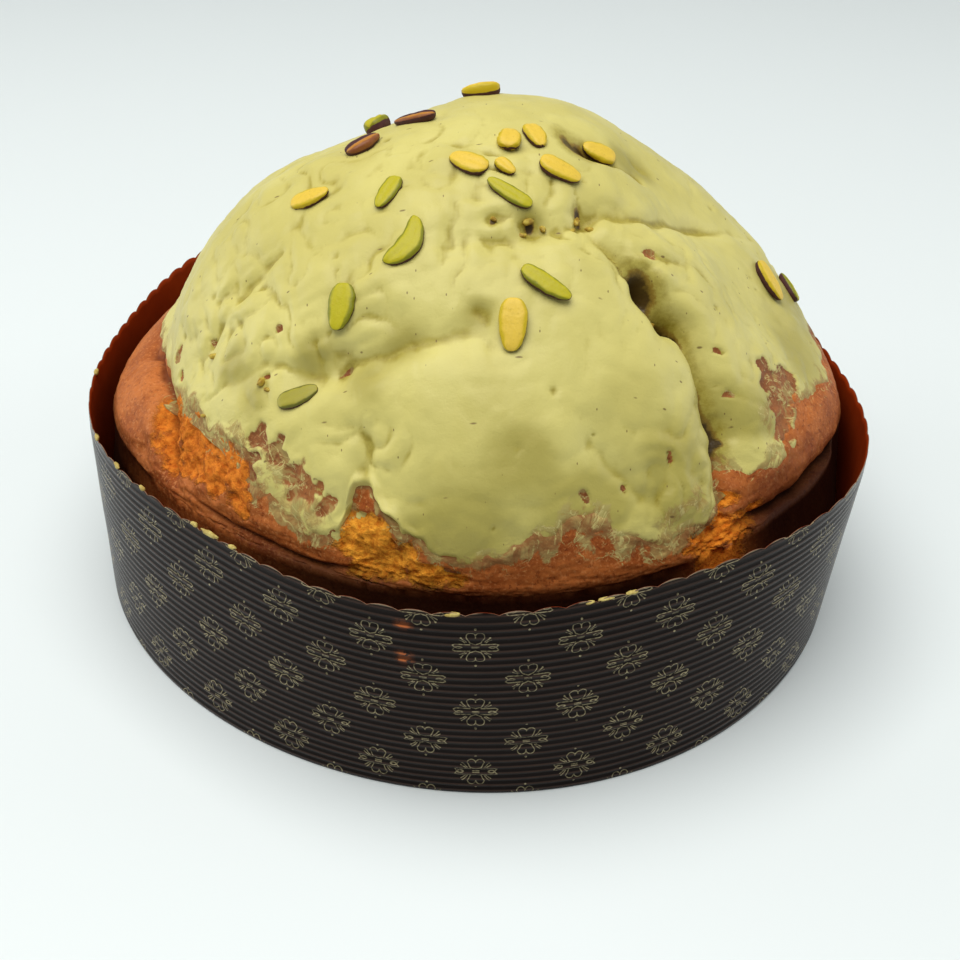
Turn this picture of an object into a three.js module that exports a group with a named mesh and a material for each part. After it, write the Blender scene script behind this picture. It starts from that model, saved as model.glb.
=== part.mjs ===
// A glazed panettone in its paper baking case, in millimetres, +Z up.
// The origin is the middle of the flat foot of the case; -Y is the front.
//
// The loaf is a low dome read as a chart: a point of the crust is named by its bearing (degrees,
// counter-clockwise from +X) and its reach (mm along the crust, 0 at the top, 140 at the widest line).
// Lobes, folds, cracks and pits are heights added square to the dome over that chart, so the bread,
// the glaze that follows it and the pistachio kernels that lie on it all share one surface.
import * as THREE from 'three';

const TAU = Math.PI * 2;
const rad = (deg) => deg * Math.PI / 180;
const clamp = (v, lo, hi) => Math.min(hi, Math.max(lo, v));
const step = (v, lo, hi) => { const k = clamp((v - lo) / (hi - lo), 0, 1); return k * k * (3 - 2 * k); };

// The paper case: a low mould for a one kilogram loaf, its cut rim in small teeth.
const CASE = { height: 60, paper: 1.1, rim: 110, foot: 109, teeth: 90, tooth: 1.0, columns: 120 };
const RIM_WAVES = [[1.4, 2.3], [0.0, -3.4], [-0.5, 1.7], [-2.5, -0.3], [-1.2, -3.3]];
const FOOT_WAVES = [[0, 0], [0, -1.6], [-0.7, -0.2], [0.4, 0.2]];

// The loaf.
const LOAF = {
  halfWidth: 98, halfDepth: 99, brow: 56, top: 136, slack: 1.55, reach: 140,
  shiftX: 6, leanX: -4, leanY: -5, clearOfPaper: 0.6, browClear: 1.2, meetsPaperAt: 24, floor: 1.4,
};
const ROLLS = [[184, 28, 9.5], [340, 22, 3.0]];              // bearing, spread, swell of the brow
const LOBES = [                                              // bearing, reach, radius, height
  [30, 24, 18, 2.0], [192, 66, 18, 3.6], [135, 34, 17, -5.5], [0, 50, 13, -4.7], [345, 80, 15, -5.4],
  [180, 104, 14, -2.3], [110, 20, 14, 1.5], [272, 98, 22, 3.0], [228, 104, 16, 1.0],
  [90, 88, 22, 3.0], [130, 84, 20, 2.0], [42, 92, 20, 2.0],
];
const FOLDS = [                                              // line, then deep, tight, soft, wide
  [[[307, 42], [311, 55], [314, 67], [315, 79], [314, 87], [312, 99], [310, 107], [308, 117],
    [307, 126]], 5.5, 2.8, 3.2, 8],
  [[[10, 80], [2, 66], [352, 56], [333, 48], [312, 40], [299, 41], [284, 42], [271, 44], [257, 45]], 1.8, 2.8, 2.4, 8],
  [[[280, 66], [268, 64], [260, 66], [254, 68], [248, 72], [237, 78], [226, 80]], 1.6, 2.8, 2.2, 8],
  [[[214, 56], [212, 68], [211, 84], [210, 98]], 1.2, 3.0, 1.6, 8],
  [[[252, 84], [251, 97], [249, 112]], 0.8, 3.0, 1.2, 7],
  [[[285, 82], [290, 97], [296, 110]], 0.6, 3.0, 1.6, 8],
  [[[308, 129], [316, 131], [323, 133], [330, 131], [338, 135], [346, 139]], 4.2, 2.8, 3.0, 7],
  [[[178, 113], [188, 108], [198, 105], [205, 109], [209, 112], [213, 120], [217, 130]], 2.4, 2.6, 2.2, 6],
  [[[112, 38], [108, 70], [113, 100], [108, 130]], 3.5, 3.0, 3.5, 9],
  [[[60, 45], [66, 75], [61, 105], [66, 130]], 2.5, 3.0, 2.5, 9],
  [[[152, 48], [150, 80], [144, 112]], 1.8, 3.0, 2.0, 9],
];
const PITS = [                                               // bearing, reach, radius, depth
  [312, 60, 3.4, 4.5], [314, 70, 3.8, 5.0], [350, 27, 5.0, 2.6], [276, 37, 2.6, 1.8], [289, 38, 3.0, 2.0],
  [310, 41, 2.6, 1.6], [271, 60, 3.4, 1.8], [243, 74, 4.5, 2.2], [6, 42, 4.0, 1.4],
  [218, 116, 8.0, 1.8], [255, 124, 8.0, 2.0], [304, 126, 5.0, 1.6], [206, 126, 5.0, 1.4],
];

// The glaze: poured over the top, thin, with a ragged lower edge, thicker where a drip stopped.
const GLAZE = { thick: 1.7, edge: 0.9, gap: 0.3 };
const EDGE = [                                               // bearing, reach of the lower edge
  [0, 108], [30, 112], [60, 100], [90, 112], [120, 107], [150, 115], [172, 110], [182, 108], [196, 103],
  [205, 104], [211, 100], [217, 99], [224, 99.5], [229, 102], [234, 108], [240, 114], [246, 118],
  [248, 117], [249.5, 105], [252, 103.5], [256, 106], [260, 112], [264, 118], [269, 119], [274, 117],
  [277, 111], [281, 106], [286, 108], [290, 117], [296, 121], [302, 118], [307, 114], [311, 107],
  [314, 111], [318, 113], [323, 111], [328, 108], [335, 107], [342, 109], [354, 113], [360, 108],
];

// The pistachio kernels: bearing, reach, turn of the long axis, length, width, height, tone, bend.
const KERNELS = [
  [86, 20, 2, 10.5, 5.5, 6.2, 'yellow'], [155, 27, 62, 8.8, 5.8, 7.4, 'green'],
  [170, 14.5, -22, 12, 4.6, 4.0, 'skin'], [209, 44, 2, 10.5, 5.2, 3.8, 'yellow'],
  [235, 34, 62, 10, 5.0, 3.8, 'green'], [250, 45, 60, 14, 6.0, 4.6, 'green', 0.35],
  [239, 62, 80, 11.5, 6.6, 3.6, 'green'], [236, 84, 14, 10.5, 5.0, 3.4, 'green'],
  [266, 22, -30, 10.2, 6.0, 4.2, 'yellow'], [286, 23.6, -46, 6.0, 3.6, 3.4, 'yellow'],
  [283.5, 31, -33, 12.5, 4.2, 3.6, 'green'], [300, 15.2, 84, 7.5, 6.0, 4.0, 'yellow'],
  [321, 17.2, 110, 9, 5.2, 4.0, 'yellow'], [312, 28, -20, 11, 6.0, 4.0, 'yellow'],
  [354, 30, -6, 9.5, 5.6, 4.2, 'yellow'], [286, 54, -32, 13.5, 4.8, 3.8, 'green'],
  [277, 62, 88, 12.5, 6.6, 4.2, 'yellow'], [358, 85, -48, 12.5, 6.4, 4.2, 'yellow'],
  [7, 98, -52, 10, 4.8, 4.0, 'green'], [192, 27, 36, 10, 6.0, 4.4, 'skin'],
];
const REAR = { count: 7, from: 56, sweep: 72, near: 60, far: 98 };

const waves = (base, list, a) =>
  list.reduce((r, [c, s], k) => r + c * Math.cos((k + 1) * a) + s * Math.sin((k + 1) * a), base);
const rimRadius = (a) => waves(CASE.rim, RIM_WAVES, a);
const footRadius = (a) => waves(CASE.foot, FOOT_WAVES, a);
const wallRadius = (a, z) => footRadius(a) + (rimRadius(a) - footRadius(a)) * z / CASE.height;

function edgeReach(a) {
  const deg = ((a * 180 / Math.PI) % 360 + 360) % 360;
  let i = 0;
  while (EDGE[i + 1][0] < deg) i += 1;
  const [d0, s0] = EDGE[i];
  const [d1, s1] = EDGE[i + 1];
  const ragged = 1.3 * Math.sin(17 * a) + 1.1 * Math.sin(31 * a + 1.0);
  return s0 + (s1 - s0) * step(deg, d0, d1) + ragged;
}

// The plain dome, and the direction square to it.
function dome(a, reach) {
  const phi = reach / LOAF.reach * Math.PI / 2;
  const up = Math.max(0, Math.cos(phi)) ** LOAF.slack;
  let swell = 0;
  for (const [bearing, spread, height] of ROLLS) {
    const turn = Math.atan2(Math.sin(a - rad(bearing)), Math.cos(a - rad(bearing))) * 180 / Math.PI;
    swell += height * Math.exp(-((turn / spread) ** 2));
  }
  swell *= step(reach, 98, 128);
  return new THREE.Vector3(
    (LOAF.halfWidth + swell) * Math.sin(phi) * Math.cos(a) + LOAF.shiftX + LOAF.leanX * up,
    (LOAF.halfDepth + swell) * Math.sin(phi) * Math.sin(a) + LOAF.leanY * up,
    LOAF.brow + (LOAF.top - LOAF.brow) * up,
  );
}
function domeNormal(a, reach) {
  const s = Math.max(reach, 0.5);
  const round = dome(a + 1e-3, s).sub(dome(a - 1e-3, s));
  const down = dome(a, Math.min(s + 0.05, LOAF.reach)).sub(dome(a, s - 0.05));
  return down.cross(round).normalize();
}

// A fold: a tight groove in the middle of a soft valley, fading out at both ends of its line.
function foldHeight(x, y, [line, deep, tight, soft, wide]) {
  const at = line.map(([b, s]) => [s * Math.cos(rad(b)), s * Math.sin(rad(b))]);
  const run = [0];
  for (let i = 1; i < at.length; i += 1) run.push(run[i - 1] + Math.hypot(at[i][0] - at[i - 1][0], at[i][1] - at[i - 1][1]));
  let best = 1e9;
  let along = 0;
  for (let i = 1; i < at.length; i += 1) {
    const [x0, y0] = at[i - 1];
    const dx = at[i][0] - x0;
    const dy = at[i][1] - y0;
    const q = clamp(((x - x0) * dx + (y - y0) * dy) / (dx * dx + dy * dy), 0, 1);
    const off = Math.hypot(x - x0 - q * dx, y - y0 - q * dy);
    if (off < best) { best = off; along = (run[i - 1] + q * (run[i] - run[i - 1])) / run[run.length - 1]; }
  }
  const fade = 0.15 + 0.85 * clamp(Math.min(along, 1 - along) * 5, 0, 1);
  return -fade * (deep * Math.exp(-((best / tight) ** 1.6)) + soft * Math.exp(-((best / wide) ** 1.4)));
}
function relief(a, reach) {
  const x = reach * Math.cos(a);
  const y = reach * Math.sin(a);
  let h = 0;
  for (const [b, s, r, up] of LOBES) {
    h += up * Math.exp(-((x - s * Math.cos(rad(b))) ** 2 + (y - s * Math.sin(rad(b))) ** 2) / (2 * r * r));
  }
  for (const fold of FOLDS) h += foldHeight(x, y, fold);
  for (const [b, s, r, down] of PITS) {
    h -= down * Math.exp(-((x - s * Math.cos(rad(b))) ** 2 + (y - s * Math.sin(rad(b))) ** 2) / (r * r));
  }
  return h;
}
const onLoaf = (a, reach, lift) =>
  dome(a, reach).addScaledVector(domeNormal(a, reach), relief(a, reach) + lift);

// Columns stand closer together about the great crack, so its walls are cut sharply.
const CRACK = { bearing: 309, spread: 9, crowd: 1.8, steps: 1440 };
const columnShare = (() => {
  const sum = [0];
  for (let i = 0; i < CRACK.steps; i += 1) {
    const deg = (i + 0.5) * 360 / CRACK.steps;
    sum.push(sum[i] + 1 + CRACK.crowd * Math.exp(-(((deg - CRACK.bearing) / CRACK.spread) ** 2)));
  }
  return sum.map((v) => v / sum[CRACK.steps]);
})();
function bearingAt(share) {
  const u = ((share % 1) + 1) % 1;
  let lo = 0;
  let hi = CRACK.steps;
  while (hi - lo > 1) {
    const mid = (lo + hi) >> 1;
    if (columnShare[mid] <= u) lo = mid; else hi = mid;
  }
  return (lo + (u - columnShare[lo]) / (columnShare[hi] - columnShare[lo])) / CRACK.steps * TAU;
}

// A closed skin made of rings: neighbouring rings may differ in count, and are zipped together.
class Skin {
  constructor() { this.points = []; this.faces = []; }
  ring(count, place) {
    const start = this.points.length;
    for (let j = 0; j < count; j += 1) this.points.push(place(j / count));
    return { start, count };
  }
  point(p) { this.points.push(p); return this.points.length - 1; }
  fan(centre, ring, flip) {
    for (let j = 0; j < ring.count; j += 1) {
      const a = ring.start + j;
      const b = ring.start + (j + 1) % ring.count;
      this.faces.push(flip ? [centre, b, a] : [centre, a, b]);
    }
  }
  // inner is nearer the top or the axis than outer; seen from outside the bearings run counter-clockwise.
  zip(inner, outer, flip) {
    let i = 0;
    let j = 0;
    while (i < inner.count || j < outer.count) {
      const a = inner.start + i % inner.count;
      const b = outer.start + j % outer.count;
      let face;
      if (j < outer.count && (i >= inner.count || (j + 1) / outer.count <= (i + 1) / inner.count + 1e-9)) {
        face = [a, b, outer.start + (j + 1) % outer.count];
        j += 1;
      } else {
        face = [a, b, inner.start + (i + 1) % inner.count];
        i += 1;
      }
      this.faces.push(flip ? [face[0], face[2], face[1]] : face);
    }
  }
  mesh(name, material) {
    const geometry = new THREE.BufferGeometry();
    const flat = new Float32Array(this.points.flatMap((p) => [p.x, p.y, p.z]));
    geometry.setAttribute('position', new THREE.BufferAttribute(flat, 3));
    geometry.setIndex(this.faces.flat());
    geometry.computeVertexNormals();
    const mesh = new THREE.Mesh(geometry, material);
    mesh.name = name;
    return mesh;
  }
}

const paint = (name, color, roughness) => {
  const material = new THREE.MeshStandardMaterial({ color, roughness, metalness: 0 });
  material.name = name;
  return material;
};
const PAPER = paint('case_paper', 0x3a2420, 0.7);
const CRUST = paint('crust', 0xa85a30, 0.6);
const ICING = paint('pistachio_glaze', 0xcfc98c, 0.4);
const TONES = {
  yellow: paint('kernel_yellow', 0xd8b13a, 0.55),
  green: paint('kernel_green', 0x9aa83a, 0.55),
  skin: paint('kernel_skin', 0x6a3a3c, 0.6),
};

// The case is one sheet: foot, wall and toothed rim.
function buildCase() {
  const skin = new Skin();
  const turn = (u) => u * TAU;
  const at = (r, a, z) => new THREE.Vector3(r * Math.cos(a), r * Math.sin(a), z);
  const n = CASE.columns;
  const t = CASE.paper;
  const toothed = (u) => CASE.height - (Math.round(u * CASE.teeth * 2) % 2 ? CASE.tooth : 0);
  const outerFoot = skin.ring(n, (u) => at(wallRadius(turn(u), 0), turn(u), 0));
  const outerRim = skin.ring(CASE.teeth * 2, (u) => at(wallRadius(turn(u), toothed(u)), turn(u), toothed(u)));
  const innerRim = skin.ring(CASE.teeth * 2, (u) => at(wallRadius(turn(u), toothed(u)) - t, turn(u), toothed(u)));
  const innerFoot = skin.ring(n, (u) => at(wallRadius(turn(u), 0) - t, turn(u), t));
  const under = skin.point(new THREE.Vector3(0, 0, 0));
  const over = skin.point(new THREE.Vector3(0, 0, t));
  skin.fan(under, outerFoot, true);
  skin.zip(outerRim, outerFoot, false);
  skin.zip(innerRim, outerRim, false);
  skin.zip(innerFoot, innerRim, false);
  skin.fan(over, innerFoot, false);
  return skin.mesh('paper_case', PAPER);
}

// Rings of the chart shared by bread and glaze.
const GLAZED_RINGS = 19;
const CRUST_RINGS = [0.07, 0.2, 0.38, 0.58, 0.79, 1.0];
const MOST_COLUMNS = 108;
const columnsOf = (i) => Math.min(MOST_COLUMNS, 6 * i);
const glazedReach = (a, i) => edgeReach(a) * i / GLAZED_RINGS;
const thickness = (i) => GLAZE.edge + (GLAZE.thick - GLAZE.edge) * step(GLAZED_RINGS - i, 0, 3);
const lip = (a, i) => {
  const front = Math.exp(-(((a * 180 / Math.PI - 246) / 12) ** 2));
  return (0.5 + 0.7 * front) * Math.exp(-((GLAZED_RINGS - i) ** 2) / 2);
};

function buildGlaze() {
  const skin = new Skin();
  const place = (i, under) => (u) => {
    const a = bearingAt(u);
    const s = glazedReach(a, i);
    return onLoaf(a, s, under ? -thickness(i) : lip(a, i));
  };
  const topOut = skin.point(onLoaf(0, 0, 0));
  const topIn = skin.point(onLoaf(0, 0, -thickness(0)));
  const outs = [];
  const ins = [];
  for (let i = 1; i <= GLAZED_RINGS; i += 1) {
    outs.push(skin.ring(columnsOf(i), place(i, false)));
    ins.push(skin.ring(columnsOf(i), place(i, true)));
  }
  skin.fan(topOut, outs[0], false);
  skin.fan(topIn, ins[0], true);
  for (let i = 1; i < GLAZED_RINGS; i += 1) {
    skin.zip(outs[i - 1], outs[i], false);
    skin.zip(ins[i - 1], ins[i], true);
  }
  skin.zip(outs[GLAZED_RINGS - 1], ins[GLAZED_RINGS - 1], false);
  const outer = skin.faces.filter((f) => f.every((v) => v === topOut || outs.some((r) => v >= r.start && v < r.start + r.count)));
  return { mesh: skin.mesh('glaze', ICING), facets: outer.map((f) => f.map((v) => skin.points[v])) };
}

// The brow swells until it is nearly at the paper, and no further.
function insideCase(p) {
  const facing = Math.atan2(p.y, p.x);
  const room = wallRadius(facing, Math.min(p.z, CASE.height)) - CASE.paper - LOAF.browClear;
  const r = Math.hypot(p.x, p.y);
  if (r > room - 3 && p.z < CASE.height + 4) {
    const eased = room - 3 + 3 * Math.tanh((r - room + 3) / 3);
    p.x *= eased / r;
    p.y *= eased / r;
  }
  return p;
}

function buildBread() {
  const skin = new Skin();
  const top = skin.point(onLoaf(0, 0, -thickness(0) - GLAZE.gap));
  let last = null;
  for (let i = 1; i <= GLAZED_RINGS; i += 1) {
    const ring = skin.ring(columnsOf(i), (u) => {
      const a = bearingAt(u);
      return onLoaf(a, glazedReach(a, i), -thickness(i) - GLAZE.gap);
    });
    if (last) skin.zip(last, ring, false); else skin.fan(top, ring, false);
    last = ring;
  }
  for (const part of CRUST_RINGS) {
    const ring = skin.ring(MOST_COLUMNS, (u) => {
      const a = bearingAt(u);
      const edge = edgeReach(a);
      const sunk = (GLAZE.edge + GLAZE.gap) * (1 - step(part, 0, 0.2));
      return insideCase(onLoaf(a, edge + (LOAF.reach - edge) * part, -sunk));
    });
    skin.zip(last, ring, false);
    last = ring;
  }
  // Below its widest line the loaf swells out to the paper and stands on the foot of the case.
  for (const [z, out] of [[47, 0.04], [36, 0.3], [LOAF.meetsPaperAt, 1], [LOAF.floor + 3, 1], [LOAF.floor, 0.985]]) {
    const ring = skin.ring(MOST_COLUMNS, (u) => {
      const a = bearingAt(u);
      const brow = insideCase(onLoaf(a, LOAF.reach, 0));
      const facing = Math.atan2(brow.y, brow.x);
      const paper = wallRadius(facing, z) - CASE.paper - LOAF.clearOfPaper;
      const r = Math.hypot(brow.x, brow.y);
      const wide = out < 1 && z > 20 ? r + (paper - r) * out : paper * out;
      return new THREE.Vector3(wide * Math.cos(facing), wide * Math.sin(facing), z);
    });
    skin.zip(last, ring, false);
    last = ring;
  }
  skin.fan(skin.point(new THREE.Vector3(0, 0, LOAF.floor)), last, true);
  return skin.mesh('bread', CRUST);
}

// How far a point stands above the glaze, measured along a direction.
function heightOver(facets, point, along) {
  let best = -1e9;
  for (const [a, b, c] of facets) {
    const e1 = b.clone().sub(a);
    const e2 = c.clone().sub(a);
    const p = along.clone().cross(e2);
    const det = e1.dot(p);
    if (Math.abs(det) < 1e-9) continue;
    const t = point.clone().sub(a);
    const u = t.dot(p) / det;
    if (u < -1e-6 || u > 1 + 1e-6) continue;
    const q = t.clone().cross(e1);
    const v = along.dot(q) / det;
    if (v < -1e-6 || u + v > 1 + 1e-6) continue;
    best = Math.max(best, e2.dot(q) / det);
  }
  return best === -1e9 ? 1e9 : -best;
}

// A kernel is half a nut, bent a little and flatter above, where it was split. It is pressed into the
// glaze until its underside takes the glaze's form.
const KERNEL = { columns: 10, rings: 6, sunk: 0.28, flat: 0.62, clear: 0.4, bend: 0.05 };
function buildKernel(index, [bearing, reach, turn, length, width, height, tone, bend = KERNEL.bend], facets) {
  const a = rad(bearing);
  const centre = onLoaf(a, reach, 0);
  const up = onLoaf(a + 0.02, reach + 1.5, 0).sub(onLoaf(a - 0.02, reach - 1.5, 0));
  const side = onLoaf(a + 3 / Math.max(reach, 6), reach, 0).sub(onLoaf(a - 3 / Math.max(reach, 6), reach, 0));
  const normal = up.cross(side).normalize();
  const right = new THREE.Vector3(1, 0, 0).addScaledVector(normal, -normal.x).normalize();
  const ahead = normal.clone().cross(right);
  const axis = right.clone().multiplyScalar(Math.cos(rad(turn))).addScaledVector(ahead, Math.sin(rad(turn)));
  const across = normal.clone().cross(axis);
  const near = facets.filter(([p]) => p.distanceTo(centre) < length + 8);
  const place = (u, v) => {
    const t = u * Math.PI;
    const w = v * TAU;
    const girth = Math.sin(t) ** 0.8;
    const l = -Math.cos(t) * length / 2;
    const rise = Math.sin(w) * (Math.sin(w) > 0 ? KERNEL.flat : 1);
    const p = centre.clone()
      .addScaledVector(axis, l)
      .addScaledVector(across, girth * Math.cos(w) * width / 2 + bend * (l * l / length * 2 - length / 8))
      .addScaledVector(normal, height * (0.5 - KERNEL.sunk) + girth * rise * height / 2);
    const clear = heightOver(near, p, normal);
    const least = KERNEL.clear + girth * (1 + rise) * height / 4;
    if (clear < least) p.addScaledVector(normal, least - clear);
    return p;
  };
  const skin = new Skin();
  const first = skin.point(place(0, 0));
  let last = null;
  for (let i = 1; i < KERNEL.rings; i += 1) {
    const ring = skin.ring(KERNEL.columns, (v) => place(i / KERNEL.rings, v));
    if (last) skin.zip(last, ring, true); else skin.fan(first, ring, true);
    last = ring;
  }
  skin.fan(skin.point(place(1, 0)), last, false);
  return skin.mesh(`pistachio_${String(index + 1).padStart(2, '0')}`, TONES[tone]);
}

const part = new THREE.Group();
part.name = 'panettone';
const glaze = buildGlaze();
part.add(buildCase(), buildBread(), glaze.mesh);
const kernels = [...KERNELS];
for (let k = 0; k < REAR.count; k += 1) {
  const share = (k * 0.618034) % 1;
  const spread = (k + 0.5) / REAR.count;
  kernels.push([REAR.from + REAR.sweep * share, REAR.near + (REAR.far - REAR.near) * spread, 47 * k, 12 + k % 3,
    5.6 + 0.4 * (k % 4), 4.2, k % 3 === 0 ? 'yellow' : 'green']);
}
kernels.forEach((kernel, index) => part.add(buildKernel(index, kernel, glaze.facets)));

export default part;
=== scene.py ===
import bpy
import numpy as np
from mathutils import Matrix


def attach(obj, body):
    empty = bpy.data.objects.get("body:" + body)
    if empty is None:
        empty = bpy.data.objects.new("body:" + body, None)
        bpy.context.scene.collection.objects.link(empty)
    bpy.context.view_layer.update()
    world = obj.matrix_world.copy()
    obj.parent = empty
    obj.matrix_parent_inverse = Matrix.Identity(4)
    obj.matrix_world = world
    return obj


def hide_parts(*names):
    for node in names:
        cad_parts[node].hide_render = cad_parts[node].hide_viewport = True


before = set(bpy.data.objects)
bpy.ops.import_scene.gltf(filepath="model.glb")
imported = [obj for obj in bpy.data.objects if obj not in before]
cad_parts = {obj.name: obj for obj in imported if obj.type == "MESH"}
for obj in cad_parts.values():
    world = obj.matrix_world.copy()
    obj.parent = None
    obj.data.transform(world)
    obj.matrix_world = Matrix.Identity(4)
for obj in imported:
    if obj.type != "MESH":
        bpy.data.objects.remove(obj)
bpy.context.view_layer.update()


# The paper case: a low open mould of dark brown paper, ribbed round and round by the corrugating
# rollers, printed with small gold flowers, its rim cut in scallops, glued to a flat paper foot.
CASE_HEIGHT = 60.0
CASE_PAPER = 1.1
CASE_RIM_PAPER = 0.55
CASE_SLACK = 0.35
RIM_RAGGED = 0.35
CASE_RIM = 110.0
CASE_FOOT = 109.0
CASE_WRAP = 690.0
RIM_WAVES = [(1.4, 2.3), (0.0, -3.4), (-0.5, 1.7), (-2.5, -0.3), (-1.2, -3.3)]
FOOT_WAVES = [(0.0, 0.0), (0.0, -1.6), (-0.7, -0.2), (0.4, 0.2)]
SCALLOPS = 90
SCALLOP_DEPTH = 1.0
RIBS = 28
RIB_DEPTH = 0.32
RIB_ROWS = 4
# Shares of the height at which the plain inside has a row of points.
INNER_ROWS = (1.0, 0.97, 0.92, 0.84, 0.74, 0.62, 0.48, 0.3, 0.12)
CASE_COLUMNS = 720
CASE_BROWN = (0.0048, 0.0018, 0.0011, 1)
# The crests of the ribs are painted paler, as a highlight where they catch the light from above.
CASE_CREST_HIGHLIGHT = (0.056, 0.029, 0.020, 1)
CASE_GOLD = (0.40, 0.34, 0.19, 1)
CASE_INSIDE = (0.300, 0.036, 0.004, 1), (0.190, 0.019, 0.003, 1)
CASE_SCUFF = (0.62, 0.160, 0.040, 1)
CASE_LIP = (0.30, 0.235, 0.155, 1)
FLOWER_COLUMNS = 56
FLOWER_PITCH = 20.8
FLOWER_START = (517.7, 49.6)
# A quarter of the flower, in millimetres from its middle: the petal's arc and the dots by their
# middle and radius, the eye by its distance out and half height, straight strokes by their ends.
FLOWER_PETAL = (1.05, 3.35, 1.05)
FLOWER_EYE = (3.9, 0.36)
FLOWER_DOTS = [(3.35, 3.05, 0.10), (0.0, 5.6, 0.18)]
FLOWER_STROKES = [
    (2.08, 3.1, 1.3, 1.45), (1.3, 1.45, 0.0, 1.0), (1.3, 1.0, 4.7, 1.08), (4.7, 1.08, 5.3, 0.8),
    (5.3, 0.8, 4.65, 0.0), (2.1, 1.6, 3.3, 3.0), (2.45, 1.5, 3.7, 2.35), (0.0, 0.22, 0.8, 0.22),
]
FLOWER_INK = (0.175, 0.05)
# Two marks where the print is rubbed off: their bearing, its spread, and each height and half height.
SCUFF_BEARING, SCUFF_SPREAD = 262.5, 0.9
SCUFFS = [(44.8, 1.9), (55.0, 1.3)]


def waves(base, pairs, a):
    """A closed outline: the base radius plus one cosine and one sine of each whole number of turns."""
    r = base + 0 * a
    for k, (c, s) in enumerate(pairs, start=1):
        r = r + c * np.cos(k * a) + s * np.sin(k * a)
    return r


def wall_radius(a, z):
    """The wall's outside: the foot's outline at the bottom, the rim's at the top, straight between."""
    foot = waves(CASE_FOOT, FOOT_WAVES, a)
    return foot + (waves(CASE_RIM, RIM_WAVES, a) - foot) * z / CASE_HEIGHT


def lattice(x, y, cell, seed):
    """Smooth noise from -1 to 1: random heights on a square lattice, joined by fifth-power steps."""
    heights = np.random.default_rng(seed).uniform(-1, 1, (256, 256))
    u, v = x / cell + 57.3, y / cell + 91.7
    i, j = np.floor(u).astype(int), np.floor(v).astype(int)
    fu, fv = u - i, v - j
    fu = fu ** 3 * (fu * (fu * 6 - 15) + 10)
    fv = fv ** 3 * (fv * (fv * 6 - 15) + 10)
    low = heights[i % 256, j % 256] * (1 - fu) + heights[(i + 1) % 256, j % 256] * fu
    high = heights[i % 256, (j + 1) % 256] * (1 - fu) + heights[(i + 1) % 256, (j + 1) % 256] * fu
    return low * (1 - fv) + high * fv


def near(value, middle, spread):
    """A bell curve: 1 at the middle, falling away to both sides."""
    return np.exp(-((value - middle) / spread) ** 2)


def about_axis(radius, a, z):
    """Points at a radius, an angle and a height."""
    return np.stack([radius * np.cos(a), radius * np.sin(a), z], -1)


def web(rows, columns, first=0):
    """Quads of a sheet of rows of points, each row closed on itself; rows run down or outwards."""
    i, j = np.meshgrid(np.arange(rows - 1), np.arange(columns), indexing="ij")
    k = (j + 1) % columns
    quads = np.stack([i * columns + j, (i + 1) * columns + j, (i + 1) * columns + k, i * columns + k], -1)
    return quads.reshape(-1, 4) + first


def hub(centre, start, columns):
    """Triangles from one middle point to a closed row of points."""
    j = np.arange(columns)
    return np.stack([np.full(columns, centre), start + j, start + (j + 1) % columns], -1)


def closed_faces(rows, columns, first=0):
    """Faces of a closed body whose points are its two poles, then its sheet of rows."""
    return [web(rows, columns, first + 2), hub(first, first + 2, columns),
            hub(first + 1, first + 2 + (rows - 1) * columns, columns)[:, ::-1]]


def with_poles(poles, sheet):
    """The values at a closed body's two poles, then those at its sheet's points."""
    poles = np.array(poles, float)
    return np.concatenate([poles, sheet.reshape((-1,) + poles.shape[1:])])


def make_piece(name, points, faces, finish, replaced=(), slot=None, uv=None, turn_length=1.0, marks=None):
    """A mesh in millimetres with its place in it, riding on the part's one body. Where the wrap comes
    round to its start, a face's corners are laid on the same turn."""
    mesh = bpy.data.meshes.new(name)
    mesh.vertices.add(len(points))
    mesh.vertices.foreach_set("co", (points * 0.001).astype(np.float32).ravel())
    corners = np.concatenate([f.ravel() for f in faces]).astype(np.int32)
    sizes = np.concatenate([np.full(len(f), f.shape[1]) for f in faces]).astype(np.int32)
    starts = np.concatenate([[0], np.cumsum(sizes)[:-1]]).astype(np.int32)
    mesh.loops.add(len(corners))
    mesh.loops.foreach_set("vertex_index", corners)
    mesh.polygons.add(len(sizes))
    mesh.polygons.foreach_set("loop_start", starts)
    mesh.polygons.foreach_set("loop_total", sizes)
    mesh.update(calc_edges=True)
    mesh.polygons.foreach_set("use_smooth", np.ones(len(sizes), dtype=bool))
    if uv is not None:
        layer = mesh.uv_layers.new(name="wrap")
        lay = uv[corners]
        lay[:, 0] += turn_length * np.round((np.repeat(lay[starts, 0], sizes) - lay[:, 0]) / turn_length)
        layer.data.foreach_set("uv", lay.astype(np.float32).ravel())
    for mark, values in (marks or {}).items():
        attribute = mesh.attributes.new(mark, "FLOAT", "POINT")
        attribute.data.foreach_set("value", values.astype(np.float32).ravel())
    mesh.materials.append(finish)
    obj = bpy.data.objects.new(name, mesh)
    bpy.context.scene.collection.objects.link(obj)
    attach(obj, "root")
    if replaced:
        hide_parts(*replaced)


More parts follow.
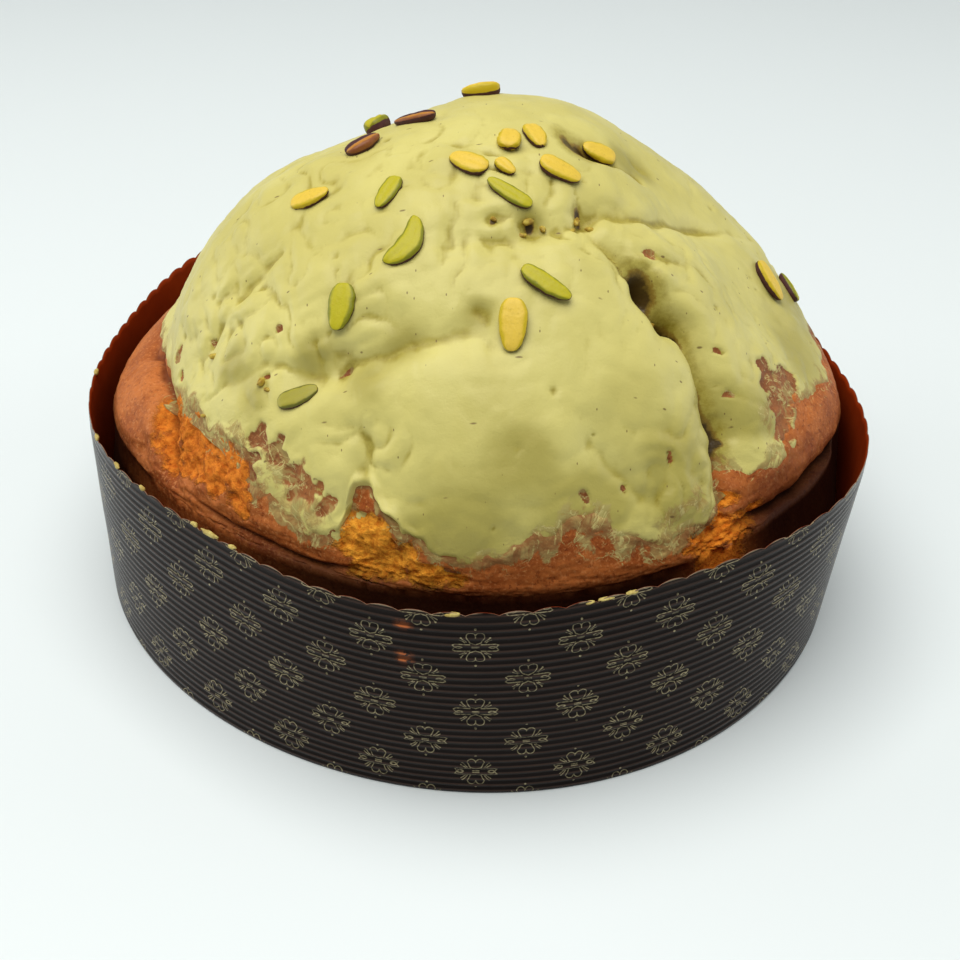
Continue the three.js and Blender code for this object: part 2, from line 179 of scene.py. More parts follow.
class Wire:
    """One output of a finish's nodes. Arithmetic on it adds Math nodes, so a formula reads as one."""

    def __init__(self, finish, socket):
        self.finish = finish
        self.socket = socket

    def maths(self, operation, *others):
        """A Math node fed by this wire and the others."""
        sockets = dict(enumerate((self,) + others))
        return self.finish.add("ShaderNodeMath", {"operation": operation}, sockets)

    def __add__(self, other):
        return self.maths("ADD", other)

    def __sub__(self, other):
        return self.maths("SUBTRACT", other)

    def __mul__(self, other):
        return self.maths("MULTIPLY", other)

    def __truediv__(self, other):
        return self.maths("DIVIDE", other)

    def __pow__(self, other):
        return self.maths("POWER", other)

    def __rsub__(self, other):
        return self.finish.add("ShaderNodeMath", {"operation": "SUBTRACT"}, {0: other, 1: self})

    def __abs__(self):
        return self.maths("ABSOLUTE")

    __radd__ = __add__
    __rmul__ = __mul__

    def least(self, other):
        return self.maths("MINIMUM", other)

    def most(self, other):
        return self.maths("MAXIMUM", other)

    def over(self, low, high):
        """0 below low and 1 above high, eased between; low may be the greater."""
        settings = {"interpolation_type": "SMOOTHSTEP", "clamp": True}
        if low > high:
            return 1.0 - self.over(high, low)
        return self.finish.add("ShaderNodeMapRange", settings, {0: self, 1: low, 2: high, 3: 0.0, 4: 1.0})

    def part(self, index):
        """One part of a vector."""
        return self.finish.add("ShaderNodeSeparateXYZ", {}, {0: self}, out=index)


class Finish:
    """A material made of nodes, read from the piece's own coordinates, wrap or marks."""

    def __init__(self, name, **constants):
        self.material = bpy.data.materials.new(name)
        self.material.use_nodes = True
        self.tree = self.material.node_tree
        self.shader = self.tree.nodes["Principled BSDF"]
        for socket, value in constants.items():
            self.shader.inputs[socket.replace("_", " ")].default_value = value

    def add(self, kind, settings=None, sockets=None, out=0):
        """A node of one kind: its settings first, then the values or links of its sockets."""
        node = self.tree.nodes.new(kind)
        for key, value in (settings or {}).items():
            setattr(node, key, value)
        for key, value in (sockets or {}).items():
            self.feed(node.inputs[key], value)
        return Wire(self, node.outputs[out])

    def feed(self, socket, value):
        """Links a wire to a socket, or sets a plain value on it."""
        if isinstance(value, Wire):
            self.tree.links.new(value.socket, socket)
        else:
            socket.default_value = value

    def mix(self, share, first, second):
        """The first colour where share is 0, the second where it is 1."""
        return self.add("ShaderNodeMix", {"data_type": "RGBA"}, {0: share, 6: first, 7: second}, out=2)

    def place(self):
        """The point of the surface in the piece's own coordinates, in metres."""
        return self.add("ShaderNodeTexCoord", out=3)

    def turned(self, place, turn, stretch):
        """A place turned and stretched, so that two layers of one pattern don't line up."""
        return self.add("ShaderNodeMapping", {}, {0: place, 2: turn, 3: stretch})

    def mark(self, name):
        """A value that the mesh carries at its points."""
        return self.add("ShaderNodeAttribute", {"attribute_name": name}, out=2)

    def noise(self, place, size, detail=2.0, rough=0.5, warp=0.0):
        """Noise from 0 to 1 whose lumps are about size millimetres across."""
        sockets = {"Vector": place, "Scale": 1000.0 / size, "Detail": detail, "Roughness": rough,
                   "Distortion": warp}
        return self.add("ShaderNodeTexNoise", {}, sockets)

    def cells(self, place, size):
        """Distance from scattered points that are about size millimetres apart."""
        return self.add("ShaderNodeTexVoronoi", {}, {"Vector": place, "Scale": 1000.0 / size})

    def wear(self, **values):
        """Feeds the shader's sockets that change over the surface."""
        for socket, value in values.items():
            self.feed(self.shader.inputs[socket.replace("_", " ")], value)
        return self.material

    def relief(self, height, depth):
        """A bump of so many millimetres for a height of 1."""
        sockets = {"Strength": 1.0, "Distance": depth * 0.001, "Height": height}
        return self.add("ShaderNodeBump", {}, sockets)


def case_finish():
    """Dark paper with a painted highlight along the crest of each rib, and gold flowers on a staggered
    lattice.
    """
    look = Finish("case_paper", Specular_IOR_Level=0.05, Specular_Tint=(1.0, 0.82, 0.70, 1), Coat_IOR=1.15,
                  Coat_Roughness=0.22)
    wrap = look.add("ShaderNodeUVMap", {"uv_map": "wrap"})
    u = wrap.part(0)
    v = wrap.part(1)
    outside = look.mark("outside")
    lip = look.mark("lip")
    place = look.place()
    half_u = CASE_WRAP / FLOWER_COLUMNS
    half_v = FLOWER_PITCH / 2
    x = abs((u - FLOWER_START[0]).maths("WRAP", half_u, -half_u))
    y = abs((v - FLOWER_START[1]).maths("WRAP", half_v, -half_v))
    next_one = (x / half_u + y / half_v).maths("GREATER_THAN", 1.0)
    x = x + next_one * (half_u - x * 2.0)
    y = y + next_one * (half_v - y * 2.0)

    def far(along, up):
        """Distance by its two parts."""
        return (along ** 2.0 + up ** 2.0) ** 0.5

    petal_x, petal_y, petal_radius = FLOWER_PETAL
    ink = abs(far(x - petal_x, y - petal_y) - petal_radius) + (petal_y - 0.3 - y).most(0.0) * 2.0
    ink = ink.least(abs(far((x - FLOWER_EYE[0]) * 0.5, y) - FLOWER_EYE[1]))
    for dot_x, dot_y, radius in FLOWER_DOTS:
        ink = ink.least(far(x - dot_x, y - dot_y) - radius)
    for x0, y0, x1, y1 in FLOWER_STROKES:
        dx, dy = x1 - x0, y1 - y0
        along = (((x - x0) * dx + (y - y0) * dy) / (dx * dx + dy * dy)).most(0.0).least(1.0)
        ink = ink.least(far(x - x0 - along * dx, y - y0 - along * dy))
    printed = ink.over(*FLOWER_INK)
    # Painted highlight: a pale line along each rib's crest, where the gold is painted brighter too.
    rib = abs((v * (RIBS / CASE_HEIGHT)).maths("FRACT") - 0.5) * 2.0
    line = rib.over(0.42, 0.14) * outside
    worn = look.noise(place, 0.9, 2.0, 0.6).over(0.34, 0.56)
    gold = printed * outside * (worn * 0.7 + 0.3) * (line * 0.4 + 0.6)
    mottle = look.noise(place, 7.0, 3.0, 0.6)
    brown = look.mix(line * (0.30 + mottle * 0.7), CASE_BROWN, CASE_CREST_HIGHLIGHT)
    paper = look.mix(outside, look.mix(mottle, *CASE_INSIDE), brown)
    rubbed = look.noise(place, 1.6, 2.0, 0.6).over(0.36, 0.50)
    paper = look.mix(look.mark("scuff") * (line * 0.8 + 0.2) * rubbed, paper, CASE_SCUFF)
    colour = look.mix(gold, paper, CASE_GOLD)
    colour = look.mix(lip * mottle.over(0.30, 0.55) * 0.9, colour, CASE_LIP)
    fibre = look.noise(place, 0.5, 3.0, 0.7)
    return look.wear(Base_Color=colour, Roughness=0.56 - line * 0.10 - gold * 0.10,
                     Coat_Weight=outside * 0.95, Normal=look.relief(fibre, 0.05))


def paper_sway(a, z):
    """Small waves of the wall, in and out."""
    return 0.06 * lattice(a * 16, z * 0.35, 5.0, 4)


def build_case():
    """The wall's outside is the outline with one half-round rib after another; a row runs from the
    foot's middle out, up the ribs, over the scalloped edge, down the plain inside and in again."""
    a = np.linspace(0, 2 * np.pi, CASE_COLUMNS, endpoint=False)
    flat = 0 * a
    scallop = np.abs(np.cos(SCALLOPS * a / 2)) ** 0.8
    top = CASE_HEIGHT - SCALLOP_DEPTH * (1 - scallop) - RIM_RAGGED * (1 + lattice(a * 20, flat, 9.0, 3))
    top = top + (CASE_HEIGHT - top.max())
    rows = [(0.5 * wall_radius(a, flat), flat, 0.0)]
    rise = np.linspace(0, 1, RIBS * RIB_ROWS + 1)
    arch = 1 - ((np.arange(len(rise)) % RIB_ROWS) / RIB_ROWS * 2 - 1) ** 2
    for k, share in enumerate(rise):
        z = np.minimum(share * CASE_HEIGHT, top - (1 - share) * 0.6)
        rib = RIB_DEPTH * arch[k] ** 0.9 * min(1, (1 - share) * 12, share * 40 + 0.2)
        radius = wall_radius(a, z) - RIB_DEPTH + rib + paper_sway(a, z) * min(1, share * 8)
        rows.append((radius, z, 1.0 * (share == 1)))
    for share in INNER_ROWS:
        z = CASE_PAPER + share * (top - CASE_PAPER)
        paper = CASE_RIM_PAPER + (CASE_PAPER + 0.25 - CASE_RIM_PAPER) * min(1, (1 - share) * 8)
        rows.append((wall_radius(a, z) - RIB_DEPTH - paper + CASE_SLACK + paper_sway(a, z), z, -1.0))
    rows.append((wall_radius(a, flat) - CASE_PAPER - 0.3, CASE_PAPER + flat, -1.0))
    rows.append((0.5 * wall_radius(a, flat), CASE_PAPER + flat, -1.0))
    sheet = np.stack([about_axis(radius, a, z) for radius, z, _ in rows])
    middle = about_axis(wall_radius(a, CASE_HEIGHT / 2 + flat), a, flat)
    step = np.linalg.norm(np.roll(middle, -1, axis=0) - middle, axis=1)
    arc = np.concatenate([[0], np.cumsum(step[:-1])]) * CASE_WRAP / step.sum()
    up = sheet[..., 2]
    side = np.array([c for _, _, c in rows])[:, None] + flat
    scuff = sum(np.exp(-((up - z) / half) ** 4) for z, half in SCUFFS)
    scuff = scuff * np.exp(-((np.degrees(a) - SCUFF_BEARING) / SCUFF_SPREAD) ** 4)
    marks = {"lip": with_poles((0, 0), np.clip(side, 0, 1)),
             "outside": with_poles((1, 0), 1.0 * (side >= 0)),
             "scuff": with_poles((0, 0), scuff)}
    uv = with_poles([(0, 0), (0, 0)], np.stack([arc + 0 * up, up], -1))
    faces = [f[:, ::-1] for f in closed_faces(len(rows), CASE_COLUMNS)]
    make_piece("case_ribbed", with_poles([(0, 0, 0), (0, 0, CASE_PAPER)], sheet), faces, case_finish(),
               ["paper_case"], "case_paper", uv, CASE_WRAP, marks)


build_case()


# The loaf: a low dome of sweet yeast dough, baked in the case. Its lobes, folds and the great crack
# are where the dough tore and rose; the crust is red brown, the torn crumb orange and spongy.
LOAF_COLUMNS = 786
# Sizes in millimetres, and the power that squashes the dome. A reach runs along the crust from the
# top, and the chart's wrap lays out one radian of bearing as a fixed length.
LOAF_HALF_WIDTH, LOAF_HALF_DEPTH = 98.0, 99.0
LOAF_BROW, LOAF_TOP = 56.0, 136.0
LOAF_POWER, LOAF_REACH = 1.55, 140.0
LOAF_SHIFT, LOAF_LEAN_X, LOAF_LEAN_Y = 6.0, -4.0, -5.0
LOAF_MEETS_PAPER, LOAF_FLOOR = 24.0, 1.4
LOAF_ROOM, LOAF_SIDE_ROOM = 1.2, 1.3
CHART_SPREAD = 100.0
GLAZE_THICK, GLAZE_EDGE, GLAZE_GAP = 1.7, 0.9, 0.3
# Rolls of crust that bulge at the brow: bearing, half its spread in degrees, and height.
ROLLS = [(184, 28, 9.5), (340, 22, 3.0)]
# Soft swells and sinkings: bearing and reach of the middle, radius, and height.
LOBES = [
    (30, 24, 18, 2.0), (192, 66, 18, 3.6), (135, 34, 17, -5.5), (0, 50, 13, -4.7), (345, 80, 15, -5.4),
    (180, 104, 14, -2.3), (110, 20, 14, 1.5), (272, 98, 22, 3.0), (228, 104, 16, 1.0),
    (90, 88, 22, 3.0), (130, 84, 20, 2.0), (42, 92, 20, 2.0),
]
# Folds: a line of bearings and reaches, the groove's depth and half width, the valley's depth and
# half width.
FOLDS = [
    ([(307, 42), (311, 55), (314, 67), (315, 79), (314, 87), (312, 99), (310, 107), (308, 117), (307, 125)],
     5.2, 3.0, 3.0, 7),
    ([(10, 80), (2, 66), (352, 56), (333, 48), (312, 40), (299, 41), (284, 42), (271, 44), (257, 45)],
     1.7, 3.1, 2.4, 8),
    ([(280, 66), (268, 64), (260, 66), (254, 68), (248, 72), (237, 78), (226, 80)], 1.6, 2.9, 2.2, 8),
    ([(214, 56), (212, 68), (211, 84), (210, 98)], 1.2, 2.6, 1.6, 8),
    ([(252, 84), (251, 97), (249, 112)], 0.8, 2.6, 1.2, 7),
    ([(285, 82), (290, 97), (296, 110)], 0.6, 2.6, 1.6, 8),
    ([(308, 129), (316, 131), (323, 133), (330, 131), (338, 135), (346, 139)], 4.4, 2.4, 3.0, 7),
    ([(178, 113), (188, 108), (198, 105), (205, 109), (209, 112), (213, 120), (217, 130)], 2.6, 2.2, 2.2, 6),
    ([(112, 38), (108, 70), (113, 100), (108, 130)], 3.6, 2.6, 3.5, 9),
    ([(60, 45), (66, 75), (61, 105), (66, 130)], 2.6, 2.6, 2.5, 9),
    ([(152, 48), (150, 80), (144, 112)], 1.9, 2.6, 2.0, 9),
    ([(221, 128), (231, 132), (243, 134), (253, 132)], 1.6, 1.6, 1.0, 5),
    ([(352, 25), (354, 36), (356, 44)], 1.2, 1.8, 0.8, 4),
]
# Pits: bearing and reach of the middle, radius, and depth.
PITS = [
    (312, 60, 3.0, 4.8), (314, 70, 3.4, 5.2), (350, 27, 5.0, 2.6), (276, 37, 2.4, 1.8), (289, 38, 2.8, 2.0),
    (310, 41, 2.4, 1.6), (271, 60, 3.2, 1.8), (243, 74, 4.2, 2.2), (6, 42, 4.0, 1.4),
    (218, 116, 8.0, 1.8), (255, 124, 8.0, 2.0), (304, 126, 5.0, 1.6), (206, 126, 5.0, 1.4),
]
# The glaze's lower edge: bearing and reach.
GLAZE_LINE = [
    (0, 108), (30, 112), (60, 100), (90, 112), (120, 107), (150, 115), (172, 110), (182, 108), (196, 103),
    (205, 104), (211, 100), (217, 99), (224, 99.5), (229, 102), (234, 108), (240, 114), (246, 118),
    (248, 117), (249.5, 105), (252, 103.5), (256, 106), (260, 112), (264, 118), (269, 119), (274, 117),
    (277, 111), (281, 106), (286, 108), (290, 117), (296, 121), (302, 118), (307, 114), (311, 107),
    (314, 111), (318, 113), (323, 111), (328, 108), (335, 107), (342, 109), (354, 113), (360, 108),
]
EDGE_BEARINGS, EDGE_REACHES = np.array(GLAZE_LINE, float).T
# Where the crust is torn off: bearing and reach of the middle, radius, and strength.
TORN = [
    (205, 110, 6, 0.9), (209, 107, 8, 1.0), (215, 105, 8, 1.0), (221, 106, 8, 1.0), (227, 108, 7, 1.0),
    (210, 115, 8, 1.0), (217, 114, 8, 1.0), (224, 115, 8, 1.0), (231, 117, 6, 0.9), (213, 122, 7, 0.9),
    (250.5, 113, 6, 1.0), (254, 115, 7, 1.0), (258, 121, 7, 1.0), (251, 120, 7, 1.0), (255, 125, 9, 1.0),
    (261, 128, 7, 1.0), (265, 128, 5, 0.8), (252, 131, 6, 0.8), (302, 128, 8, 1.0), (306, 130, 8, 1.0),
    (308, 135, 8, 1.0), (303, 137, 7, 1.0), (308, 116, 4, 1.0), (306.5, 122, 5, 1.0), (312, 127, 6, 0.9),
    (60, 122, 8, 0.9), (112, 124, 8, 0.9), (150, 126, 6, 0.8),
]
CRUST_RED = (0.285, 0.065, 0.011, 1), (0.500, 0.148, 0.032, 1)
CRUST_WORN, CRUST_GRAIN = (0.56, 0.190, 0.045, 1), (0.66, 0.270, 0.090, 1)
# Dark pores of the crust, and painted shade for its folds and hollows.
CRUST_PORE, CRUST_HOLLOW_SHADE = (0.125, 0.019, 0.003, 1), (0.11, 0.018, 0.003, 1)
# Painted light for the left roll, and painted shade for the underside of the right roll.
CRUST_ROLL_LIGHT, CRUST_ROLL_SHADE = (0.70, 0.235, 0.075, 1), (0.135, 0.028, 0.005, 1)
# Painted shade for the crust low in the case, in the shadow of its wall.
CRUST_CASE_SHADE = (0.007, 0.001, 0.0004, 1)
CRUMB_LEFT = (0.46, 0.088, 0.006, 1), (0.82, 0.255, 0.027, 1)
CRUMB_FRONT = (0.58, 0.150, 0.008, 1), (0.98, 0.42, 0.040, 1)
# The crumb on the right is redder, and painted lighter against the shade of the groove it lies in.
CRUMB_RIGHT_LIGHTENED = (0.62, 0.120, 0.005, 1), (1.0, 0.34, 0.030, 1)
FILM = (0.235, 0.120, 0.040, 1), (0.44, 0.36, 0.125, 1)
FILM_STRAND = (0.54, 0.46, 0.17, 1)


def eased(v, low, high):
    """0 below low, 1 above high, an S between."""
    k = np.clip((v - low) / (high - low), 0, 1)
    return k * k * (3 - 2 * k)


def bearing_of(a):
    """An angle in degrees, from 0 to 360."""
    return np.degrees(a) % 360


def dome(a, reach):
    """The plain dome: a quarter turn from the top to the widest line, squashed by a power, swollen
    at the brow where a roll of crust bulges."""
    phi = reach / LOAF_REACH * np.pi / 2
    up = np.clip(np.cos(phi), 0, 1) ** LOAF_POWER
    swell = 0 * a
    for bearing, spread, height in ROLLS:
        turn = np.degrees(np.angle(np.exp(1j * (a - np.radians(bearing)))))
        swell = swell + height * near(turn, 0, spread)
    swell = swell * eased(reach, 98, 128)
    x = (LOAF_HALF_WIDTH + swell) * np.sin(phi) * np.cos(a) + LOAF_SHIFT + LOAF_LEAN_X * up
    y = (LOAF_HALF_DEPTH + swell) * np.sin(phi) * np.sin(a) + LOAF_LEAN_Y * up
    return np.stack([x, y, LOAF_BROW + (LOAF_TOP - LOAF_BROW) * up], -1)


def dome_square(a, reach):
    """The direction square to the plain dome, from two short steps along it."""
    s = np.maximum(reach, 0.5)
    across = dome(a + 1e-3, s) - dome(a - 1e-3, s)
    down = dome(a, np.minimum(s + 0.05, LOAF_REACH)) - dome(a, s - 0.05)
    n = np.cross(down, across)
    return n / np.linalg.norm(n, axis=-1, keepdims=True)


def chart(bearing, reach):
    """Where a bearing in degrees and a reach lie on the flat chart of the crust."""
    return reach * np.cos(np.radians(bearing)), reach * np.sin(np.radians(bearing))


def bell(x, y, bearing, reach, radius):
    """A round bell on the chart: 1 at its middle, falling away over the radius."""
    cx, cy = chart(bearing, reach)
    return np.exp(-((x - cx) ** 2 + (y - cy) ** 2) / radius ** 2)


def along_fold(x, y, line):
    """Distance from a fold's line, and how far along the line from 0 to 1."""
    at = np.array([chart(b, s) for b, s in line])
    run = np.concatenate([[0], np.cumsum(np.linalg.norm(np.diff(at, axis=0), axis=1))])
    best = np.full(x.shape, 1e9)
    share = np.zeros(x.shape)
    for i in range(len(at) - 1):
        d = at[i + 1] - at[i]
        q = np.clip(((x - at[i, 0]) * d[0] + (y - at[i, 1]) * d[1]) / (d @ d), 0, 1)
        off = np.hypot(x - at[i, 0] - q * d[0], y - at[i, 1] - q * d[1])
        nearer = off < best
        best = np.where(nearer, off, best)
        share = np.where(nearer, (run[i] + q * (run[i + 1] - run[i])) / run[-1], share)
    return best, share


def wavered(x, y):
    """The chart with every line bent a little, as torn dough runs."""
    wx = x + 1.5 * lattice(x, y, 9.0, 11) + 0.45 * lattice(x, y, 4.2, 12)
    wy = y + 1.5 * lattice(x, y, 9.0, 13) + 0.45 * lattice(x, y, 4.2, 14)
    return wx, wy


def main_relief(x, y, folds=FOLDS):
    """Height over the dome: swells, then folds as a tight groove in a soft valley, then pits. The
    lines of folds and pits waver a little, as torn dough does."""
    wx, wy = wavered(x, y)
    height = 0 * x
    for bearing, reach, radius, rise in LOBES:
        height = height + rise * bell(x, y, bearing, reach, radius * np.sqrt(2))
    for line, deep, tight, soft, wide in folds:
        off, share = along_fold(wx, wy, line)
        fade = 0.15 + 0.85 * np.clip(np.minimum(share, 1 - share) * 5, 0, 1)
        height = height - fade * (deep * np.exp(-(off / tight) ** 1.6) + soft * np.exp(-(off / wide) ** 1.4))
    for bearing, reach, radius, depth in PITS:
        height = height - depth * bell(wx, wy, bearing, reach, radius)
    return height


def lipped(a):
    """Near 1 where the glaze stopped in a thick lip over the torn front, near 0 elsewhere."""
    return near(bearing_of(a), 255, 7)


def glaze_line(a, x, y):
    """Reach of the glaze's lower edge: the named line, ragged by waves and by finer noise."""
    deg = bearing_of(a)
    i = np.clip(np.searchsorted(EDGE_BEARINGS, deg, side="right") - 1, 0, len(GLAZE_LINE) - 2)
    share = eased(deg, EDGE_BEARINGS[i], EDGE_BEARINGS[i + 1])
    line = EDGE_REACHES[i] + (EDGE_REACHES[i + 1] - EDGE_REACHES[i]) * share
    ragged = 1.3 * np.sin(17 * a) + 1.1 * np.sin(31 * a + 1.0)
    ragged = ragged + 2.0 * lattice(x, y, 6.0, 21) + 1.1 * lattice(x, y, 2.6, 22)
    return line + 2.5 * (1 - lipped(a)) + ragged * (1 - 0.75 * near(deg, 184, 16))


def glaze_depth(inward):
    """The glaze and the gap under it, thinner near the edge, by the distance in from its line."""
    return GLAZE_EDGE + (GLAZE_THICK - GLAZE_EDGE) * eased(inward, 0, 14) + GLAZE_GAP


def patches(x, y, spots, ragged, seed):
    """A height that is over 0.4 inside a list of patches: the nearest patch's bell curve, bent, plus
    noise, so that the border is ragged."""
    x, y = x + 2.4 * lattice(x, y, 4.6, seed + 2), y + 2.4 * lattice(x, y, 4.6, seed + 3)
    share = 0 * x
    for bearing, reach, radius, much in spots:
        share = np.maximum(share, much * bell(x, y, bearing, reach, radius))
    return share + ragged * (0.6 * lattice(x, y, 3.2, seed) + 0.4 * lattice(x, y, 1.5, seed + 1))


def torn_height(x, y):
    """The patches of torn crust, as a height."""
    return patches(x, y, TORN, 0.26, 31)


def torn_share(x, y):
    """1 where the crust is torn away and the crumb shows."""
    return eased(torn_height(x, y), 0.30, 0.54)


def hollow(height, x, y, step):
    """How deep a place lies below the mean of eight places round it, in millimetres."""
    around = 0 * x
    for k in range(8):
        around = around + height(x + step * np.cos(k * np.pi / 4), y + step * np.sin(k * np.pi / 4))
    return around / 8 - height(x, y)


def crust_relief(x, y, a, reach):
    """Fine relief of the bare crust: soft wrinkles round the brow, small blisters, and the rough
    open sponge where it is torn."""
    ring = a * CHART_SPREAD
    deep = 0.42 * (0.35 + 0.65 * near(bearing_of(a), 225, 28))
    wrinkle = 0.40 * lattice(ring, reach * 2.0, 14.0, 41) - np.abs(lattice(ring, reach * 2.2, 5.0, 42)) * deep
    blister = 0.10 * lattice(x, y, 2.4, 43) - 0.22 * eased(lattice(x, y, 1.7, 46), 0.35, 0.8)
    sponge = 0.6 * lattice(x, y, 5.0, 44) - 0.9 * np.abs(lattice(x, y, 2.4, 45)) - 0.7
    sponge = sponge + 0.5 * lattice(x, y, 1.3, 47)
    torn = torn_share(x, y)
    return (wrinkle + blister) * (1 - torn) + sponge * torn


def inside_case(points):
    """The brow swells until it is nearly at the paper, and no further."""
    facing = np.arctan2(points[..., 1], points[..., 0])
    room = wall_radius(facing, np.minimum(points[..., 2], CASE_HEIGHT)) - CASE_PAPER - LOAF_ROOM
    r = np.hypot(points[..., 0], points[..., 1])
    leaning = (r > room - 3) & (points[..., 2] < CASE_HEIGHT + 4)
    held = np.where(leaning, room - 3 + 3 * np.tanh((r - room + 3) / 3), r) / np.maximum(r, 1e-6)
    return points * np.stack([held, held, np.ones_like(held)], -1)


def crust_colour(look, place):
    """Baked crust: red brown clouds, paler worn specks, dark pores."""
    cloud = look.noise(place, 16.0, 4.0, 0.62)
    speck = look.noise(place, 1.3, 3.0, 0.7)
    grain = look.noise(place, 0.8, 2.0, 0.6)
    baked = look.mix(cloud.over(0.36, 0.64), *CRUST_RED)
    baked = look.mix(speck.over(0.50, 0.74) * 0.55, baked, CRUST_WORN)
    baked = look.mix(grain.over(0.54, 0.66) * 0.45, baked, CRUST_GRAIN)
    return look.mix(speck.over(0.44, 0.33) * 0.6, baked, CRUST_PORE), speck


def glaze_rags(look, place):
    """Rags and thin strands of dragged glaze, both from 0 to 1."""
    streak = look.noise(place, 6.5, 5.0, 0.68, warp=0.9)
    line = look.noise(place, 9.0, 4.0, 0.6, warp=1.4)
    return streak, abs(line - 0.5).over(0.020, 0.006) * streak.over(0.42, 0.55)


def crust_finish():
    """Crust, with painted shade deep brown low in the case, orange sponge where torn, filmed with glaze near
    its edge.
    """
    look = Finish("crust", Specular_IOR_Level=0.12)
    place = look.place()
    sponge = look.noise(place, 1.9, 4.0, 0.75)
    torn = (look.mark("torn") + (sponge - 0.5) * 0.6).over(0.28, 0.56)
    film = look.mark("film")
    baked, speck = crust_colour(look, place)
    front = place.part(0).over(-0.056, -0.036)
    # On the right the crumb is redder and painted lighter, against the shade that falls there.
    right = place.part(0).over(0.038, 0.050)
    deep, light = [look.mix(right, look.mix(front, at_left, at_front), at_right)
                   for at_left, at_front, at_right in zip(CRUMB_LEFT, CRUMB_FRONT, CRUMB_RIGHT_LIGHTENED)]
    crumb = look.mix(sponge.over(0.26, 0.68), deep, light)
    # Painted light: the left roll is painted paler, as the light from the left falls on it.
    baked = look.mix(look.mark("paler") * 0.2, baked, CRUST_ROLL_LIGHT)
    # Painted shade: the underside of the right roll is painted darker.
    baked = look.mix(look.mark("darker") * 0.62, baked, CRUST_ROLL_SHADE)
    body = look.mix(torn, baked, crumb)
    # Painted shade in the crust's folds and hollows and in the pores of the torn sponge.
    body = look.mix(look.mark("sunk").over(0.1, 1.0) * (0.75 - torn * 0.15), body, CRUST_HOLLOW_SHADE)
    # Painted shade: the crust low in the case is darkened nearly to black.
    body = look.mix(look.mark("low") * 0.96, body, CRUST_CASE_SHADE)
    streak, strand = glaze_rags(look, place)
    smear = (film * 1.2 + (streak - 0.5) * 2.0).over(0.62, 0.86) * (1.0 - torn * 0.8)
    colour = look.mix(smear * 0.8, body, look.mix(streak.over(0.42, 0.70), *FILM))
    colour = look.mix(strand * film.over(0.12, 0.4) * 0.8, colour, FILM_STRAND)
    height = speck * 0.5 + sponge * torn * 2.4 + streak * film * 0.9
    return look.wear(Base_Color=colour, Roughness=0.55 + torn * 0.30 - smear * 0.10 + speck * 0.1,
                     Normal=look.relief(height, 0.4))


def loaf_side(brow):
    """Rings from the brow's points down: eased out to the paper, then along it to the foot and in."""
    facing = np.arctan2(brow[:, 1], brow[:, 0])
    r = np.hypot(brow[:, 0], brow[:, 1])
    rings = []
    for share in np.linspace(0, 1, 15)[1:]:
        z = brow[:, 2] + (LOAF_MEETS_PAPER - brow[:, 2]) * share
        paper = wall_radius(facing, z) - CASE_PAPER - LOAF_SIDE_ROOM
        rings.append(about_axis(r + (paper - r) * eased(share, 0, 1), facing, z))
    for z, wide in ((12.0, 1.0), (LOAF_FLOOR + 3, 1.0), (LOAF_FLOOR, 0.985), (LOAF_FLOOR, 0.5)):
        paper = wall_radius(facing, z + 0 * r) - CASE_PAPER - LOAF_SIDE_ROOM
        rings.append(about_axis(paper * wide, facing, z + 0 * r))
    return np.stack(rings)


def loaf_marks(a, reach, x, y, line, bare, side):
    """Where the loaf is torn, filmed with glaze, and sunk in folds and pores, which takes painted shade;
    where painted light falls on the left roll; and where painted shade lies under the right roll.
    """
    deg = bearing_of(a)
    far = 6 + 4 * near(deg, 285, 16) + 5 * lattice(x, y, 11.0, 51)
    film = np.clip(1 - (reach - line) / far, 0, 1) * (0.9 - 0.6 * near(deg, 326, 12))
    film = film * (1 - near(deg, 184, 18)) * (1 - 0.5 * eased(deg, 306, 312))
    # How deep the crust lies below its surroundings: where painted shade goes.
    sunk = np.clip(hollow(lambda p, q: main_relief(p, q, FOLDS[1:]), x, y, 3.0) * 0.7, 0, 1)
    pores = np.clip(hollow(lambda p, q: crust_relief(p, q, a, reach), x, y, 1.2), 0, 1)
    tops = {"torn": np.where(bare > 0.3, torn_height(x, y), 0), "film": film,
            "sunk": np.maximum(sunk, torn_share(x, y) * pores),
            # Painted light on the left roll; painted shade on the underside of the right roll.
            "paler": np.exp(-((deg - 186) / 20) ** 2 - ((reach - 116) / 12) ** 2),
            "darker": near(deg, 319, 13) * eased(reach, 106, 118)}
    return {name: np.concatenate([top, np.zeros(side.shape[:2])]) for name, top in tops.items()}


